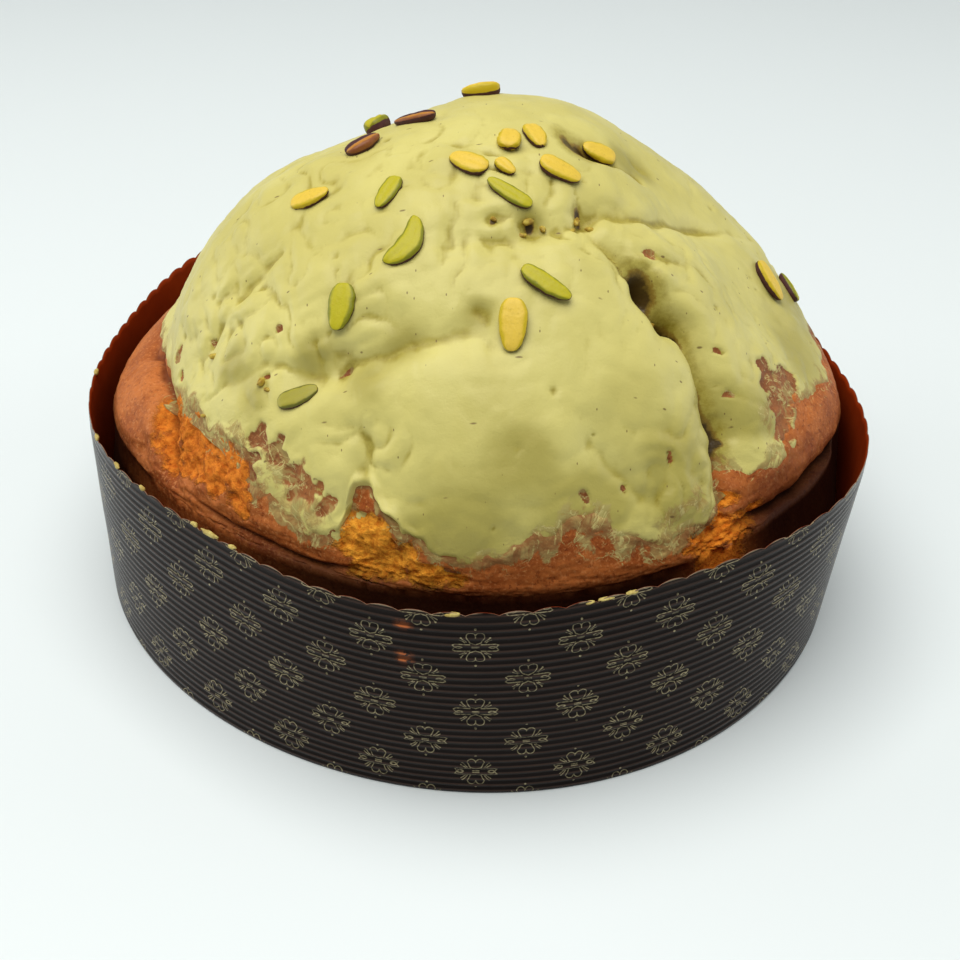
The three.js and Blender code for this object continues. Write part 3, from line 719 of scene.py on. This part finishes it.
def build_loaf():
    """The dome with its relief, rings close together where the crust is bare and wide apart under
    the glaze, then a side that swells out to the paper and stands on the foot of the case."""
    a = np.linspace(0, 2 * np.pi, LOAF_COLUMNS, endpoint=False)[None]
    reach = np.concatenate([np.linspace(3.5, 84, 24), np.linspace(84.8, LOAF_REACH, 70)])[:, None]
    a, reach = np.broadcast_arrays(a, reach)
    x, y = reach * np.cos(a), reach * np.sin(a)
    line = glaze_line(a, x, y)
    bare = lipped(a) * eased(reach - line, -2.5, 1.5) + (1 - lipped(a)) * eased(reach - line, -5.5, -1.5)
    lift = main_relief(x, y) - (1 - bare) * glaze_depth(line - reach) + bare * crust_relief(x, y, a, reach)
    top = inside_case(dome(a, reach) + dome_square(a, reach) * lift[..., None])
    side = loaf_side(top[-1])
    sheet = np.concatenate([top, side])
    marks = loaf_marks(a, reach, x, y, line, bare, side)
    deg = np.broadcast_to(bearing_of(a[:1]), sheet.shape[:2])
    split = near(deg, 305, 5.5)
    marks["torn"][-len(side):] = split[-len(side):] * 0.9
    # Painted shade on the crust below the case's rim, lifted where the crust there is lit: at the split on
    # the right and on the left front.
    lit = np.maximum(0.9 * split, 0.80 * near(deg, 220, 15)) * (sheet[..., 2] > 48)
    marks["low"] = np.clip((59.5 - sheet[..., 2]) / 4.0, 0, 1) * (1 - lit)
    marks = {name: with_poles((0, 0), values) for name, values in marks.items()}
    peak = dome(np.array(0.0), np.array(0.5))
    peak[2] += main_relief(np.zeros(1), np.zeros(1))[0] - 2.0
    down = np.concatenate([reach, reach[:len(side)]])
    flat = np.stack([np.broadcast_to(a[:1] * CHART_SPREAD, down.shape), down], -1)
    uv = with_poles([(0, 0), (0, 0)], flat)
    faces = closed_faces(len(sheet), LOAF_COLUMNS)
    make_piece("loaf", with_poles([peak, (0, 0, LOAF_FLOOR)], sheet), faces, crust_finish(), ["bread"],
               "crust", uv, 2 * np.pi * CHART_SPREAD, marks)


build_loaf()


# The glaze: pistachio icing poured warm over the top, set in a skin one to two millimetres thick,
# smooth on the swells, dragged and pitted in the folds, thin and ragged where it stopped running.
# How many cells the net has across, the reach that it would have if it were round, how far past the
# named edge it goes under the crust, and how deep the skin is in all.
GLAZE_CELLS = 288
GLAZE_EVEN, GLAZE_SPARE, GLAZE_UNDER = 118.0, 6.0, 2.2
SMALL_PITS = 90
# Holes down to the dough: bearing and reach, half width across the slope, and down it.
CAVITIES = [
    (313.2, 60, 2.9, 5.8), (314.5, 72, 2.0, 5.0), (314, 84, 0.8, 6.0), (312.5, 100, 1.2, 1.8),
    (342, 24.5, 3.3, 3.8), (349, 27, 2.6, 3.0), (276, 37, 0.8, 1.4), (289, 38, 1.0, 1.7),
    (308, 39, 0.9, 1.8),
]
# Bare windows, where the glaze never reached: bearing, reach, radius and strength.
BARE = [
    (330, 99, 8.0, 1.0), (326, 104, 6.5, 1.0), (334, 100, 5.0, 0.9), (327, 93, 5.0, 0.8),
    (281, 117, 5.0, 1.0), (285, 114, 4.0, 0.9), (278, 121, 4.0, 0.9), (226, 71, 1.4, 1.0),
    (202, 94, 2.0, 0.9), (205, 98, 1.6, 0.9), (241.5, 104, 5.0, 1.0), (236, 98.5, 4.4, 1.0),
    (232, 96, 3.4, 0.9), (246, 107, 3.6, 0.9), (231, 104, 4.0, 0.8), (320, 54, 1.8, 0.8),
    (321, 80, 1.6, 1.0), (318, 91, 1.5, 0.9), (300, 96, 1.3, 0.9), (285, 100, 1.8, 0.9),
    (290, 101, 1.1, 0.9), (243, 76, 1.3, 0.8), (228, 84, 1.5, 0.9), (211, 85, 1.5, 0.9),
    (264, 121, 4.0, 0.7), (40, 84, 2.2, 0.9), (75, 104, 4.0, 0.9), (101, 92, 2.4, 0.9),
    (128, 98, 4.5, 0.9), (165, 103, 3.0, 0.8),
]
# Where the glaze is thin, where painted shade makes it olive, and where it is lumpy: bearing, reach and
# radius.
THIN = [
    (231, 104, 10), (238, 107, 10), (226, 98, 6), (244, 112, 9), (330, 100, 13), (322, 104, 8),
    (296, 114, 9), (268, 119, 6), (303, 110, 8), (212, 98, 5), (278, 118, 7), (352, 106, 7),
]
SHADE_SPOTS = [
    (268, 108, 16), (285, 105, 12), (300, 99, 13), (276, 90, 8), (345, 101, 15), (2, 98, 15), (314, 92, 10),
    (248, 76, 7), (283, 110, 10), (220, 84, 6), (262, 116, 10), (300, 112, 10), (322, 100, 10), (289, 38, 5),
    (270, 59, 5), (236, 74, 6), (228, 88, 6), (0, 36, 5), (5, 43, 5), (254, 66, 6),
]
ROUGH = [
    (215, 70, 26), (238, 58, 14), (300, 38, 16), (268, 42, 12), (322, 58, 13), (250, 92, 13), (300, 104, 12),
    (330, 100, 16), (196, 44, 14), (246, 22, 13), (282, 26, 12), (70, 70, 20), (112, 80, 22), (160, 84, 16),
    (20, 96, 14),
]
ICING_PALE = (0.570, 0.500, 0.145, 1), (0.660, 0.588, 0.190, 1)
# Painted shade: olive for the lower front and the hollows, brown to near black in the crack and holes.
ICING_PAINTED_SHADE = (0.355, 0.300, 0.060, 1)
ICING_HOLLOW_SHADE = (0.29, 0.222, 0.020, 1), (0.41, 0.340, 0.055, 1)
ICING_PIT_SHADE = (0.25, 0.155, 0.020, 1), (0.040, 0.016, 0.003, 1)
ICING_WORN = (0.40, 0.325, 0.105, 1)
ICING_STRAND = (0.58, 0.50, 0.19, 1)
ICING_DOT = (0.130, 0.065, 0.020, 1)
CRUST_UNDER = (0.115, 0.040, 0.018, 1)


def blots(x, y, spots):
    """Soft round patches, each a bell curve, added up to 1 at most."""
    share = 0 * x
    for spot in spots:
        share = share + bell(x, y, *spot)
    return np.clip(share, 0, 1)


def bare_height(x, y):
    """The bare windows, as a height."""
    return patches(x, y, BARE, 0.30, 33)


def glaze_relief(x, y):
    """Fine relief of the glaze: slow waves, lumps parted by creases where it was dragged, and small
    dimples."""
    slow = 0.45 * lattice(x, y, 15.0, 61) + 0.24 * lattice(x, y, 7.0, 62) + 0.08 * lattice(x, y, 3.2, 63)
    wx = x + 2.2 * lattice(x, y, 8.0, 67)
    wy = y + 2.2 * lattice(x, y, 8.0, 68)
    lumps = 1.60 * np.abs(lattice(wx, wy, 11.0, 65)) + 1.05 * np.abs(lattice(wx, wy, 5.2, 66)) ** 0.9
    lumps = lumps + 0.32 * np.abs(lattice(wx, wy, 2.4, 69)) - 0.85
    draw = np.random.default_rng(64)
    bearings, reaches = draw.uniform(0, 360, SMALL_PITS), draw.uniform(20, 112, SMALL_PITS)
    radii, depths = draw.uniform(0.4, 1.0, SMALL_PITS), draw.uniform(0.25, 0.7, SMALL_PITS)
    pits = 0 * x
    for bearing, reach, radius, depth in zip(bearings, reaches, radii, depths):
        pits = pits - depth * bell(x, y, bearing, reach, radius)
    bare = eased(bare_height(x, y), 0.34, 0.50)
    return slow + lumps * (0.22 + 0.78 * blots(x, y, ROUGH)) + pits - 0.7 * bare


def glaze_cover(a, reach, x, y):
    """Height of the glaze over the crust's own level: 0 on top, thinning away flush with the crust
    at the lower edge, but for the lip at the front, which stands proud and drops sheer. Also the
    distance in from the edge."""
    inward = glaze_line(a, x, y) - reach
    sheer = (glaze_depth(inward) + 1.0) * (eased(inward, -2.0, 2.5) - 1) + 1.3 * near(inward, 2.5, 2.2)
    flush = -0.9 * (1 - eased(inward, -4.0, 5.0))
    return lipped(a) * sheer + (1 - lipped(a)) * flush, inward


def on_glaze(a, reach, under):
    """Points of the glaze: the dome, the loaf's relief, the cover over it and its own fine relief,
    less what the underside lies below, which is more along the crack."""
    x, y = reach * np.cos(a), reach * np.sin(a)
    cover, inward = glaze_cover(a, reach, x, y)
    off, _ = along_fold(x, y, FOLDS[0][0])
    lift = main_relief(x, y) + cover + eased(inward, -1, 4) * glaze_relief(x, y)
    lift = lift - under * (1 + 3.0 * near(off, 0, 8.0))
    return dome(a, reach) + dome_square(a, reach) * lift[..., None], inward, x, y


def glaze_finish():
    """Pale khaki icing: painted shade, olive in the hollows and low down, near black in the crack; brown
    where the crust shows through or it never reached.
    """
    look = Finish("pistachio_glaze", Specular_IOR_Level=0.25, Coat_Roughness=0.25)
    place = look.place()
    thin = look.mark("thin")
    sunk = look.mark("sunk")
    cloud = look.noise(place, 26.0, 3.0, 0.55)
    fleck = look.noise(place, 2.6, 4.0, 0.7)
    pale = look.mix(cloud.over(0.32, 0.68), *ICING_PALE)
    # Painted shade: olive on the lower front and the right edge, where they turn away from the light above.
    shade = look.mark("olive") + (look.noise(place, 14.0, 3.0, 0.6) - 0.5) * 0.7
    pale = look.mix(shade.over(0.15, 1.0) * 0.78, pale, ICING_PAINTED_SHADE)
    # Painted shade: olive in the hollows of the glaze and along the crack's walls.
    olive = look.mix(fleck.over(0.35, 0.65), *ICING_HOLLOW_SHADE)
    body = look.mix((sunk + (fleck - 0.5) * 0.5).over(0.06, 0.62) * 0.85, pale, olive)
    # Painted shade in the crack and the holes: olive on their walls, brown to near black at the bottom.
    rift = look.mark("rift") + (fleck - 0.5) * 1.6
    body = look.mix(rift.over(5.0, 2.8) * 0.75, body, olive)
    body = look.mix(rift.over(2.7, 2.2) * 0.94, body, look.mix(rift.over(2.3, 1.5), *ICING_PIT_SHADE))
    baked, _ = crust_colour(look, place)
    baked = look.mix(0.42, baked, CRUST_UNDER)
    streak, strand = glaze_rags(look, place)
    worn = look.mix(streak.over(0.46, 0.62), baked, ICING_WORN)
    show = (thin + (streak - 0.5) * 1.9).over(0.72, 1.0)
    body = look.mix(show * 0.85, body, worn)
    rim = (look.mark("bare") + (streak - 0.5) * 0.55).over(0.37, 0.47) * 0.95
    body = look.mix(rim, body, look.mix(streak.over(0.50, 0.62) * 0.6, baked, worn))
    body = look.mix(strand * show.most(rim) * 0.8, body, ICING_STRAND)
    seed = look.noise(place, 9.0, 1.0, 0.5)
    coarse = look.cells(look.turned(place, (0.4, 0.3, 0.7), (0.6, 2.4, 1.5)), 8.0)
    small = look.cells(look.turned(place, (1.1, 0.2, 0.9), (2.0, 0.7, 1.2)), 5.2)
    dots = coarse.over(0.085, 0.040) * seed.over(0.40, 0.44)
    dots = dots.most(small.over(0.085, 0.040) * seed.over(0.58, 0.54))
    body = look.mix(dots * 0.75, body, ICING_DOT)
    grain = look.noise(place, 0.8, 3.0, 0.6)
    height = grain * 0.2 + fleck * 0.6 + streak * (thin * 1.3 + 0.45)
    return look.wear(Base_Color=body, Roughness=0.40 + sunk * 0.12 + grain * 0.08 + rim.most(show) * 0.25,
                     Coat_Weight=(1.0 - thin) * 0.08, Normal=look.relief(height, 0.22))


def disc(cells):
    """A square net of points pressed into a disc of radius 1, so that its cells stay about even."""
    s = np.linspace(-1, 1, cells + 1)
    p, q = np.meshgrid(s, s, indexing="ij")
    return p * np.sqrt(1 - q * q / 2), q * np.sqrt(1 - p * p / 2)


def border(cells):
    """Places of the net's outer points, once round, counter-clockwise."""
    n = cells + 1
    k = np.arange(cells)
    return np.concatenate([k * n, cells * n + k, (cells - k) * n + cells, cells - k])


def net(cells, first=0):
    """Quads of the square net, facing up."""
    n = cells + 1
    i, j = np.meshgrid(np.arange(cells), np.arange(cells), indexing="ij")
    quads = np.stack([i * n + j, (i + 1) * n + j, (i + 1) * n + j + 1, i * n + j + 1], -1)
    return quads.reshape(-1, 4) + first


def rift_distance(x, y):
    """Distance from the crack and from the holes, in millimetres, the crack narrowing at its ends."""
    wx, wy = wavered(x, y)
    off, along = along_fold(wx, wy, FOLDS[0][0])
    rift = off + 2.0 + 2.6 * (1 - eased(along, 0.0, 0.10)) - 1.0 * eased(along, 0.45, 0.65)
    for bearing, reach, wide, deep in CAVITIES:
        cx, cy = chart(bearing, reach)
        ux, uy = chart(bearing, 1.0)
        down = (wx - cx) * ux + (wy - cy) * uy
        aside = (wy - cy) * ux - (wx - cx) * uy
        rift = np.minimum(rift, 2.4 * np.hypot(down / deep, aside / wide))
    return np.minimum(rift, 12.0)


def build_glaze():
    """A fine net over the top and a net of a quarter of its cells below, joined round the edge."""
    coarse = GLAZE_CELLS // 4
    sheets = []
    for cells, under in ((GLAZE_CELLS, 0.0), (coarse, GLAZE_UNDER)):
        p, q = disc(cells)
        a = np.arctan2(q, p)
        r = np.hypot(p, q)
        outline = np.interp(bearing_of(a), EDGE_BEARINGS, EDGE_REACHES) + GLAZE_SPARE
        sheets.append(on_glaze(a, r * (GLAZE_EVEN + (outline - GLAZE_EVEN) * r ** 3), under))
    fine, inward, x, y = sheets[0]
    first = fine.reshape(-1, 3)
    second = sheets[1][0].reshape(-1, 3)
    outer = border(GLAZE_CELLS)
    inner = border(coarse) + len(first)
    k = np.arange(len(inner))
    last = inner[(k + 1) % len(inner)]
    strip = [np.stack([outer[4 * k + i], ends, outer[(4 * k + i + 1) % len(outer)]], -1)
             for i, ends in enumerate((inner, inner, last, last))]
    strip += [np.stack([outer[4 * k + 2], inner[k], last], -1)]
    faces = [net(GLAZE_CELLS), net(coarse, len(first))[:, ::-1]] + strip
    # How deep the glaze lies in its hollows, where painted shade goes.
    sunk = hollow(lambda p, q: main_relief(p, q, FOLDS[1:]) + glaze_relief(p, q), x, y, 2.4) * 0.95
    thin = 1 - eased(inward, 0, 13 + 6 * lattice(x, y, 14.0, 71))
    thin = np.maximum(thin * (1 - 0.8 * lipped(np.arctan2(y, x))), blots(x, y, THIN) * 0.85)
    # The olive mark places painted shade; the sunk mark says where painted shade goes in the hollows.
    marks = {"thin": thin, "sunk": np.clip(sunk, 0, 1), "rift": rift_distance(x, y),
             "olive": blots(x, y, SHADE_SPOTS), "bare": bare_height(x, y)}
    marks = {name: np.concatenate([value.ravel(), np.zeros(len(second))]) for name, value in marks.items()}
    flat = [np.stack([(np.arctan2(v, u) % (2 * np.pi)) * CHART_SPREAD, np.hypot(u, v)], -1).reshape(-1, 2)
            for _, _, u, v in sheets]
    make_piece("icing", np.concatenate([first, second]), faces, glaze_finish(), ["glaze"],
               "pistachio_glaze", np.concatenate(flat), 2 * np.pi * CHART_SPREAD, marks)


build_glaze()


# The pistachio kernels: shelled nuts, some split in half, dropped on while the glaze was soft.
# Each is yellow to green inside, with rags of its dark purple skin on the back and edges.
KERNEL_SUNK = 0.28
KERNEL_FLAT = 0.62
KERNEL_BEND = 0.05
NUT_TONES = {"yellow": ((0.76, 0.52, 0.055, 1), (0.56, 0.41, 0.006, 1)),
             "green": ((0.48, 0.420, 0.007, 1), (0.22, 0.220, 0.003, 1)),
             "dull": ((0.34, 0.30, 0.030, 1), (0.12, 0.12, 0.010, 1)),
             "skin": ((0.48, 0.19, 0.020, 1), (0.24, 0.075, 0.020, 1))}
NUT_VEIN = (0.40, 0.27, 0.02, 1)
NUT_SKIN = (0.030, 0.006, 0.008, 1), (0.10, 0.030, 0.030, 1)
# Bearing and reach of each, its turn, length, width and height, and its tone.
KERNELS = [
    (86, 20, 2, 10.5, 5.5, 6.2, "yellow"), (155, 27, 62, 8.8, 5.8, 7.4, "green"),
    (170, 14.5, -22, 12, 4.6, 4.0, "skin"), (209, 44, 2, 10.5, 5.2, 3.8, "yellow"),
    (235, 34, 62, 10, 5.0, 3.8, "green"), (250, 45, 60, 14, 6.0, 4.6, "green"),
    (239, 62, 80, 11.5, 6.6, 3.6, "green"), (236, 84, 14, 10.5, 5.0, 3.4, "green"),
    (266, 22, -30, 10.2, 6.0, 4.2, "yellow"), (286, 23.6, -46, 6.0, 3.6, 3.4, "yellow"),
    (283.5, 31, -33, 12.5, 4.2, 3.6, "green"), (300, 15.2, 84, 7.5, 6.0, 4.0, "yellow"),
    (321, 17.2, 110, 9, 5.2, 4.0, "yellow"), (312, 28, -20, 11, 6.0, 4.0, "yellow"),
    (354, 30, -6, 9.5, 5.6, 4.2, "yellow"), (286, 54, -32, 13.5, 4.8, 3.8, "green"),
    (277, 62, 88, 12.5, 6.6, 4.2, "yellow"), (358, 85, -48, 12.5, 6.4, 4.2, "yellow"),
    (7, 98, -52, 10, 4.8, 4.0, "green"), (192, 27, 36, 10, 6.0, 4.4, "skin"),
]
# The kernels behind the crest lie on bearings spread by the golden ratio.
REAR_COUNT = 7
GOLDEN = 0.618034
for k in range(REAR_COUNT):
    rear_bearing = 56 + 72 * ((k * GOLDEN) % 1)
    rear_reach = 60 + 38 * (k + 0.5) / REAR_COUNT
    KERNELS.append((rear_bearing, rear_reach, 47 * k, 12 + k % 3, 5.6 + 0.4 * (k % 4), 4.2,
                    "yellow" if k % 3 == 0 else "green"))
# Which of them, counted from 0, are nearly bare of skin, have it on the far edge, are dull, or bend.
NUT_BARE = (3, 6, 9, 11, 14, 20)
NUT_FAR_SKIN = (0, 12, 19, 22, 25)
NUT_DULL = (7,)
NUT_BENT = {5: 0.35}


def nut_finish(tone):
    """Waxy nut flesh with fine lengthwise veins; the skin is dark, dull and wrinkled."""
    look = Finish("kernel_" + tone, Specular_IOR_Level=0.35)
    place = look.place()
    rim = (look.mark("rim") + (look.noise(place, 2.5, 2.0, 0.5) - 0.5) * 0.7).over(0.45, 0.85)
    flesh = look.mix(rim, *NUT_TONES[tone])
    flesh = look.mix(look.noise(place, 0.9, 3.0, 0.7).over(0.5, 0.8) * 0.35, flesh, NUT_VEIN)
    skin = (look.mark("skin") + (look.noise(place, 1.6, 3.0, 0.6) - 0.5) * 0.45).over(0.46, 0.54)
    colour = look.mix(skin, flesh, look.mix(look.noise(place, 1.1, 2.0, 0.6), *NUT_SKIN))
    return look.wear(Base_Color=colour, Roughness=0.45 + skin * 0.2,
                     Normal=look.relief(look.noise(place, 0.8, 3.0, 0.6), 0.12))


NUT_FINISHES = {tone: nut_finish(tone) for tone in NUT_TONES}


def on_loaf(bearing, reach, lift=0.0):
    """One point of the shown surface, without fine relief, by its bearing in radians and its reach."""
    a = np.array([bearing], float)
    s = np.array([reach], float)
    height = main_relief(s * np.cos(a), s * np.sin(a)) + lift
    return (dome(a, s) + dome_square(a, s) * height[:, None])[0]


def kernel_axes(a, reach, turn):
    """A kernel's length, its width and the way out of the loaf, as three directions: the way out is
    square to two short steps on the loaf, the length turned from the right about it."""
    down = on_loaf(a, reach + 2.5) - on_loaf(a, max(reach - 2.5, 0.1))
    aside = on_loaf(a + 3 / max(reach, 6), reach) - on_loaf(a - 3 / max(reach, 6), reach)
    normal = np.cross(down, aside)
    normal = normal / np.linalg.norm(normal)
    right = np.array([1.0, 0, 0]) - normal * normal[0]
    right = right / np.linalg.norm(right)
    axis = right * np.cos(turn) + np.cross(normal, right) * np.sin(turn)
    return axis, np.cross(normal, axis), normal


def kernel_marks(index, tone, u, v):
    """Where a kernel keeps its skin, along one edge, below and at its tips, and where its rim is."""
    much = 0.85 if tone == "skin" else 0.3 if index in NUT_BARE else 0.6
    side = 1 if index in NUT_FAR_SKIN else -1
    edge = near(np.sin(v), -0.14, 0.34) * (np.cos(v) * side > 0.1)
    tips = near(np.abs(np.cos(u)), 1, 0.05) * (0.6 if index % 3 == 0 else 0.2)
    skin = np.clip(edge * 0.85 + (np.sin(v) < -0.3) * 0.7 + tips, 0, 1) * (much + 0.4)
    if tone == "skin":
        skin = np.maximum(skin, 0.62 * (np.cos(v) > -0.3))
    rim = np.clip(1.15 * np.abs(np.cos(v)) ** 2 + (np.sin(v) < 0.1), 0, 1) + 0 * u
    return {"skin": with_poles((0.4, 0.4), skin), "rim": with_poles((1, 1), rim)}


def build_kernel(index, kernel):
    """Half a nut: length by a cosine, girth by a sine's power, one end the blunter, bent a little,
    its upper side flat where it was split, with a faint furrow along it."""
    bearing, reach, turn, length, width, height, tone = kernel
    curve = NUT_BENT.get(index, KERNEL_BEND)
    centre = on_loaf(np.radians(bearing), reach)
    axis, across, normal = kernel_axes(np.radians(bearing), reach, np.radians(turn))
    u = np.linspace(0, np.pi, 26)[1:-1, None]
    v = np.linspace(0, 2 * np.pi, 36, endpoint=False)[None]
    girth = np.sin(u) ** 0.72 * (1 + 0.14 * np.cos(u) * (1 if index % 2 else -1))
    lift = np.where(np.sin(v) > 0, KERNEL_FLAT * np.clip(np.sin(v), 0, 1) ** 0.55, np.sin(v))
    furrow = -0.10 * near(np.cos(v), 0, 0.3) * (np.sin(v) > 0)
    bumps = 1 + 0.06 * lattice(u * 6 + 0 * v, np.cos(v) * 4 + index * 9, 1.6, 80 + index)
    middle = height * (0.5 - KERNEL_SUNK)
    ahead = -np.cos(u) * length / 2
    bend = curve * (ahead * ahead / length * 2 - length / 8)
    side = girth * np.cos(v) * width / 2 * bumps + bend
    rise = middle + girth * (lift + furrow) * height / 2 * bumps
    body = centre + axis * ahead[..., None] + across * side[..., None] + normal * rise[..., None]
    tip_bend = curve * (length / 2 - length / 8)
    tips = [centre + axis * (s * length / 2) + across * tip_bend + normal * middle for s in (-1, 1)]
    faces = [f[:, ::-1] for f in closed_faces(*body.shape[:2])]
    finish = NUT_FINISHES["dull" if index in NUT_DULL else tone]
    make_piece("nut_%02d" % (index + 1), with_poles(tips, body), faces, finish,
               ["pistachio_%02d" % (index + 1)], "kernel_" + tone, marks=kernel_marks(index, tone, u, v))


for number, kernel in enumerate(KERNELS):
    build_kernel(number, kernel)


# Crumbs: chips of nut that fell in the hollows of the glaze, and beads of glaze that dripped on the
# cut edge of the case and set there.
CHIP_COLOURS = (0.30, 0.17, 0.016, 1), (0.52, 0.38, 0.050, 1)
BEAD_COLOURS = (0.42, 0.30, 0.07, 1), (0.60, 0.49, 0.15, 1)
# Chips: bearing, reach and size.
CHIPS = [
    (213, 86, 1.9), (228, 84, 2.2), (230, 85, 1.5), (289, 37, 2.4), (293, 39, 1.8), (285, 40, 1.7),
    (308, 39, 2.2), (311, 42, 1.8), (304, 41, 1.4), (276, 36, 1.6), (312.5, 67, 2.2), (315, 77, 1.9),
    (218, 100, 1.2), (95, 60, 1.8), (70, 84, 1.5), (120, 72, 1.7),
]
# Beads: bearing on the rim, half length along it and half height.
BEADS = [
    (182, 1.6, 0.7), (200.8, 1.5, 0.7), (209.2, 1.6, 0.6), (216.5, 1.3, 0.6), (228.8, 1.2, 0.6),
    (232.2, 3.0, 0.8), (236.7, 1.2, 0.5), (268.5, 1.8, 0.5), (285, 1.2, 0.35), (287.2, 2.2, 0.35),
    (290.5, 1.6, 0.35), (40, 1.8, 0.7), (118, 2.0, 0.7),
]


def crumb_finish(name, colours):
    """Dull crumbs, blotched from one colour to another."""
    look = Finish(name, Specular_IOR_Level=0.3, Roughness=0.55)
    place = look.place()
    return look.wear(Base_Color=look.mix(look.noise(place, 1.4, 3.0, 0.6).over(0.35, 0.65), *colours),
                     Normal=look.relief(look.noise(place, 0.7, 2.0, 0.6), 0.15))


def scatter(name, spots, finish):
    """Little closed balls, each with its middle, its turn about Z and its half widths; the surface
    is a ball's, its radius bent by noise."""
    u = np.linspace(0, np.pi, 10)[1:-1, None]
    v = np.linspace(0, 2 * np.pi, 16, endpoint=False)[None]
    ball = about_axis(np.sin(u), v, np.cos(u) + 0 * v)
    points, faces = [], []
    for number, (middle, turn, half) in enumerate(spots):
        across, up = 2.2 * ball[..., 0] + 7 * number, 2.2 * (ball[..., 1] + ball[..., 2])
        bumpy = 1 + 0.22 * lattice(across, up, 1.0, 91)
        x, y, z = (with_poles([(0, 0, 1.0), (0, 0, -1.0)], ball * bumpy[..., None]) * half).T
        c, s = np.cos(turn), np.sin(turn)
        faces += closed_faces(*ball.shape[:2], len(points) * len(x))
        points.append(np.stack([x * c - y * s, x * s + y * c, z], -1) + middle)
    make_piece(name, np.concatenate(points), faces, finish)


def chip_spots():
    """Each chip on the loaf, turned its own way."""
    for k, (bearing, reach, size) in enumerate(CHIPS):
        yield on_loaf(np.radians(bearing), reach, 0.2), 1.3 * k, size * np.array([0.8, 0.4, 0.36])


def bead_spots():
    """Each bead astride the rim, its length along it."""
    for bearing, half, tall in BEADS:
        a = np.radians(bearing)
        middle = about_axis(waves(CASE_RIM, RIM_WAVES, a) - 0.5, a, CASE_HEIGHT - 0.7)
        yield middle, a + np.pi / 2, (half, 0.6, tall)


scatter("chips", chip_spots(), crumb_finish("chip", CHIP_COLOURS))
scatter("beads", bead_spots(), crumb_finish("bead", BEAD_COLOURS))


# A plain pale table that curves up behind, soft light from above and from both sides, and the
# camera at the photograph's angle.
CAMERA_AT = (0.0033, -0.3389, 0.2593)
CAMERA_DOWN = 35.4
CAMERA_LENS = 50.63
TABLE_HALF_WIDTH, TABLE_NEAR, TABLE_FAR = 3000.0, -3000.0, 1000.0
TABLE_CURVE, TABLE_RISE, TABLE_DROP = 1200.0, 1920.0, 0.02
TABLE_COLOUR = (0.80, 0.85, 0.85, 1)
LIGHT_AIM = (0, 0, 0.08)
SKY_COLOUR, SKY_STRENGTH = (0.92, 0.97, 1.0, 1), 0.24


def build_table():
    """A flat sheet with a high back that curves up by a quarter turn, so that no horizon shows."""
    s = np.linspace(0, 1, 40)
    turn = np.clip((s - 0.5) * 2, 0, 1) * np.pi / 2
    flat = TABLE_NEAR + (TABLE_FAR - TABLE_NEAR) * 2 * np.minimum(s, 0.5)
    y = flat + TABLE_CURVE * np.sin(turn)
    z = TABLE_RISE * (1 - np.cos(turn)) - TABLE_DROP
    grid = np.stack([np.stack([x + 0 * s, y, z], -1) for x in (-TABLE_HALF_WIDTH, TABLE_HALF_WIDTH)])
    k = np.arange(len(s) - 1)
    n = len(s)
    quads = np.stack([k, n + k, n + k + 1, k + 1], -1)
    mesh = bpy.data.meshes.new("table")
    mesh.from_pydata([tuple(p * 0.001) for p in grid.reshape(-1, 3)], [], quads.tolist())
    mesh.polygons.foreach_set("use_smooth", [True] * len(quads))
    mesh.materials.append(Finish("pale_table", Roughness=0.6).wear(Base_Color=TABLE_COLOUR))
    obj = bpy.data.objects.new("table", mesh)
    bpy.context.scene.collection.objects.link(obj)


def add_light(name, at, size, power, colour=(1, 1, 1)):
    """A square soft light at a place, turned to face the loaf."""
    data = bpy.data.lights.new(name, "AREA")
    data.shape = "SQUARE"
    data.size = size
    data.energy = power
    data.color = colour
    light = bpy.data.objects.new(name, data)
    light.location = at
    away = np.array(at, float) - np.array(LIGHT_AIM, float)
    light.rotation_euler = (np.arctan2(np.hypot(away[0], away[1]), away[2]), 0, np.arctan2(away[0], -away[1]))
    bpy.context.scene.collection.objects.link(light)


def add_camera():
    """The camera at the photograph's angle, looking down along +Y."""
    lens = bpy.data.cameras.new("camera")
    lens.lens = CAMERA_LENS
    lens.sensor_width = 36.0
    camera = bpy.data.objects.new("camera", lens)
    camera.location = CAMERA_AT
    camera.rotation_euler = (np.radians(90 - CAMERA_DOWN), 0, 0)
    bpy.context.scene.collection.objects.link(camera)
    bpy.context.scene.camera = camera


build_table()
add_light("over", (-0.1, -0.12, 1.15), 1.1, 14.4, (1.0, 0.99, 0.96))
add_light("left", (-1.2, 0.3, 0.40), 0.8, 4.5)
add_light("right", (1.2, 0.3, 0.40), 0.8, 3.4)
world = bpy.data.worlds.new("studio")
world.use_nodes = True
sky = world.node_tree.nodes["Background"]
sky.inputs["Color"].default_value = SKY_COLOUR
sky.inputs["Strength"].default_value = SKY_STRENGTH
bpy.context.scene.world = world
add_camera()
bpy.context.scene.view_settings.view_transform = "Standard"
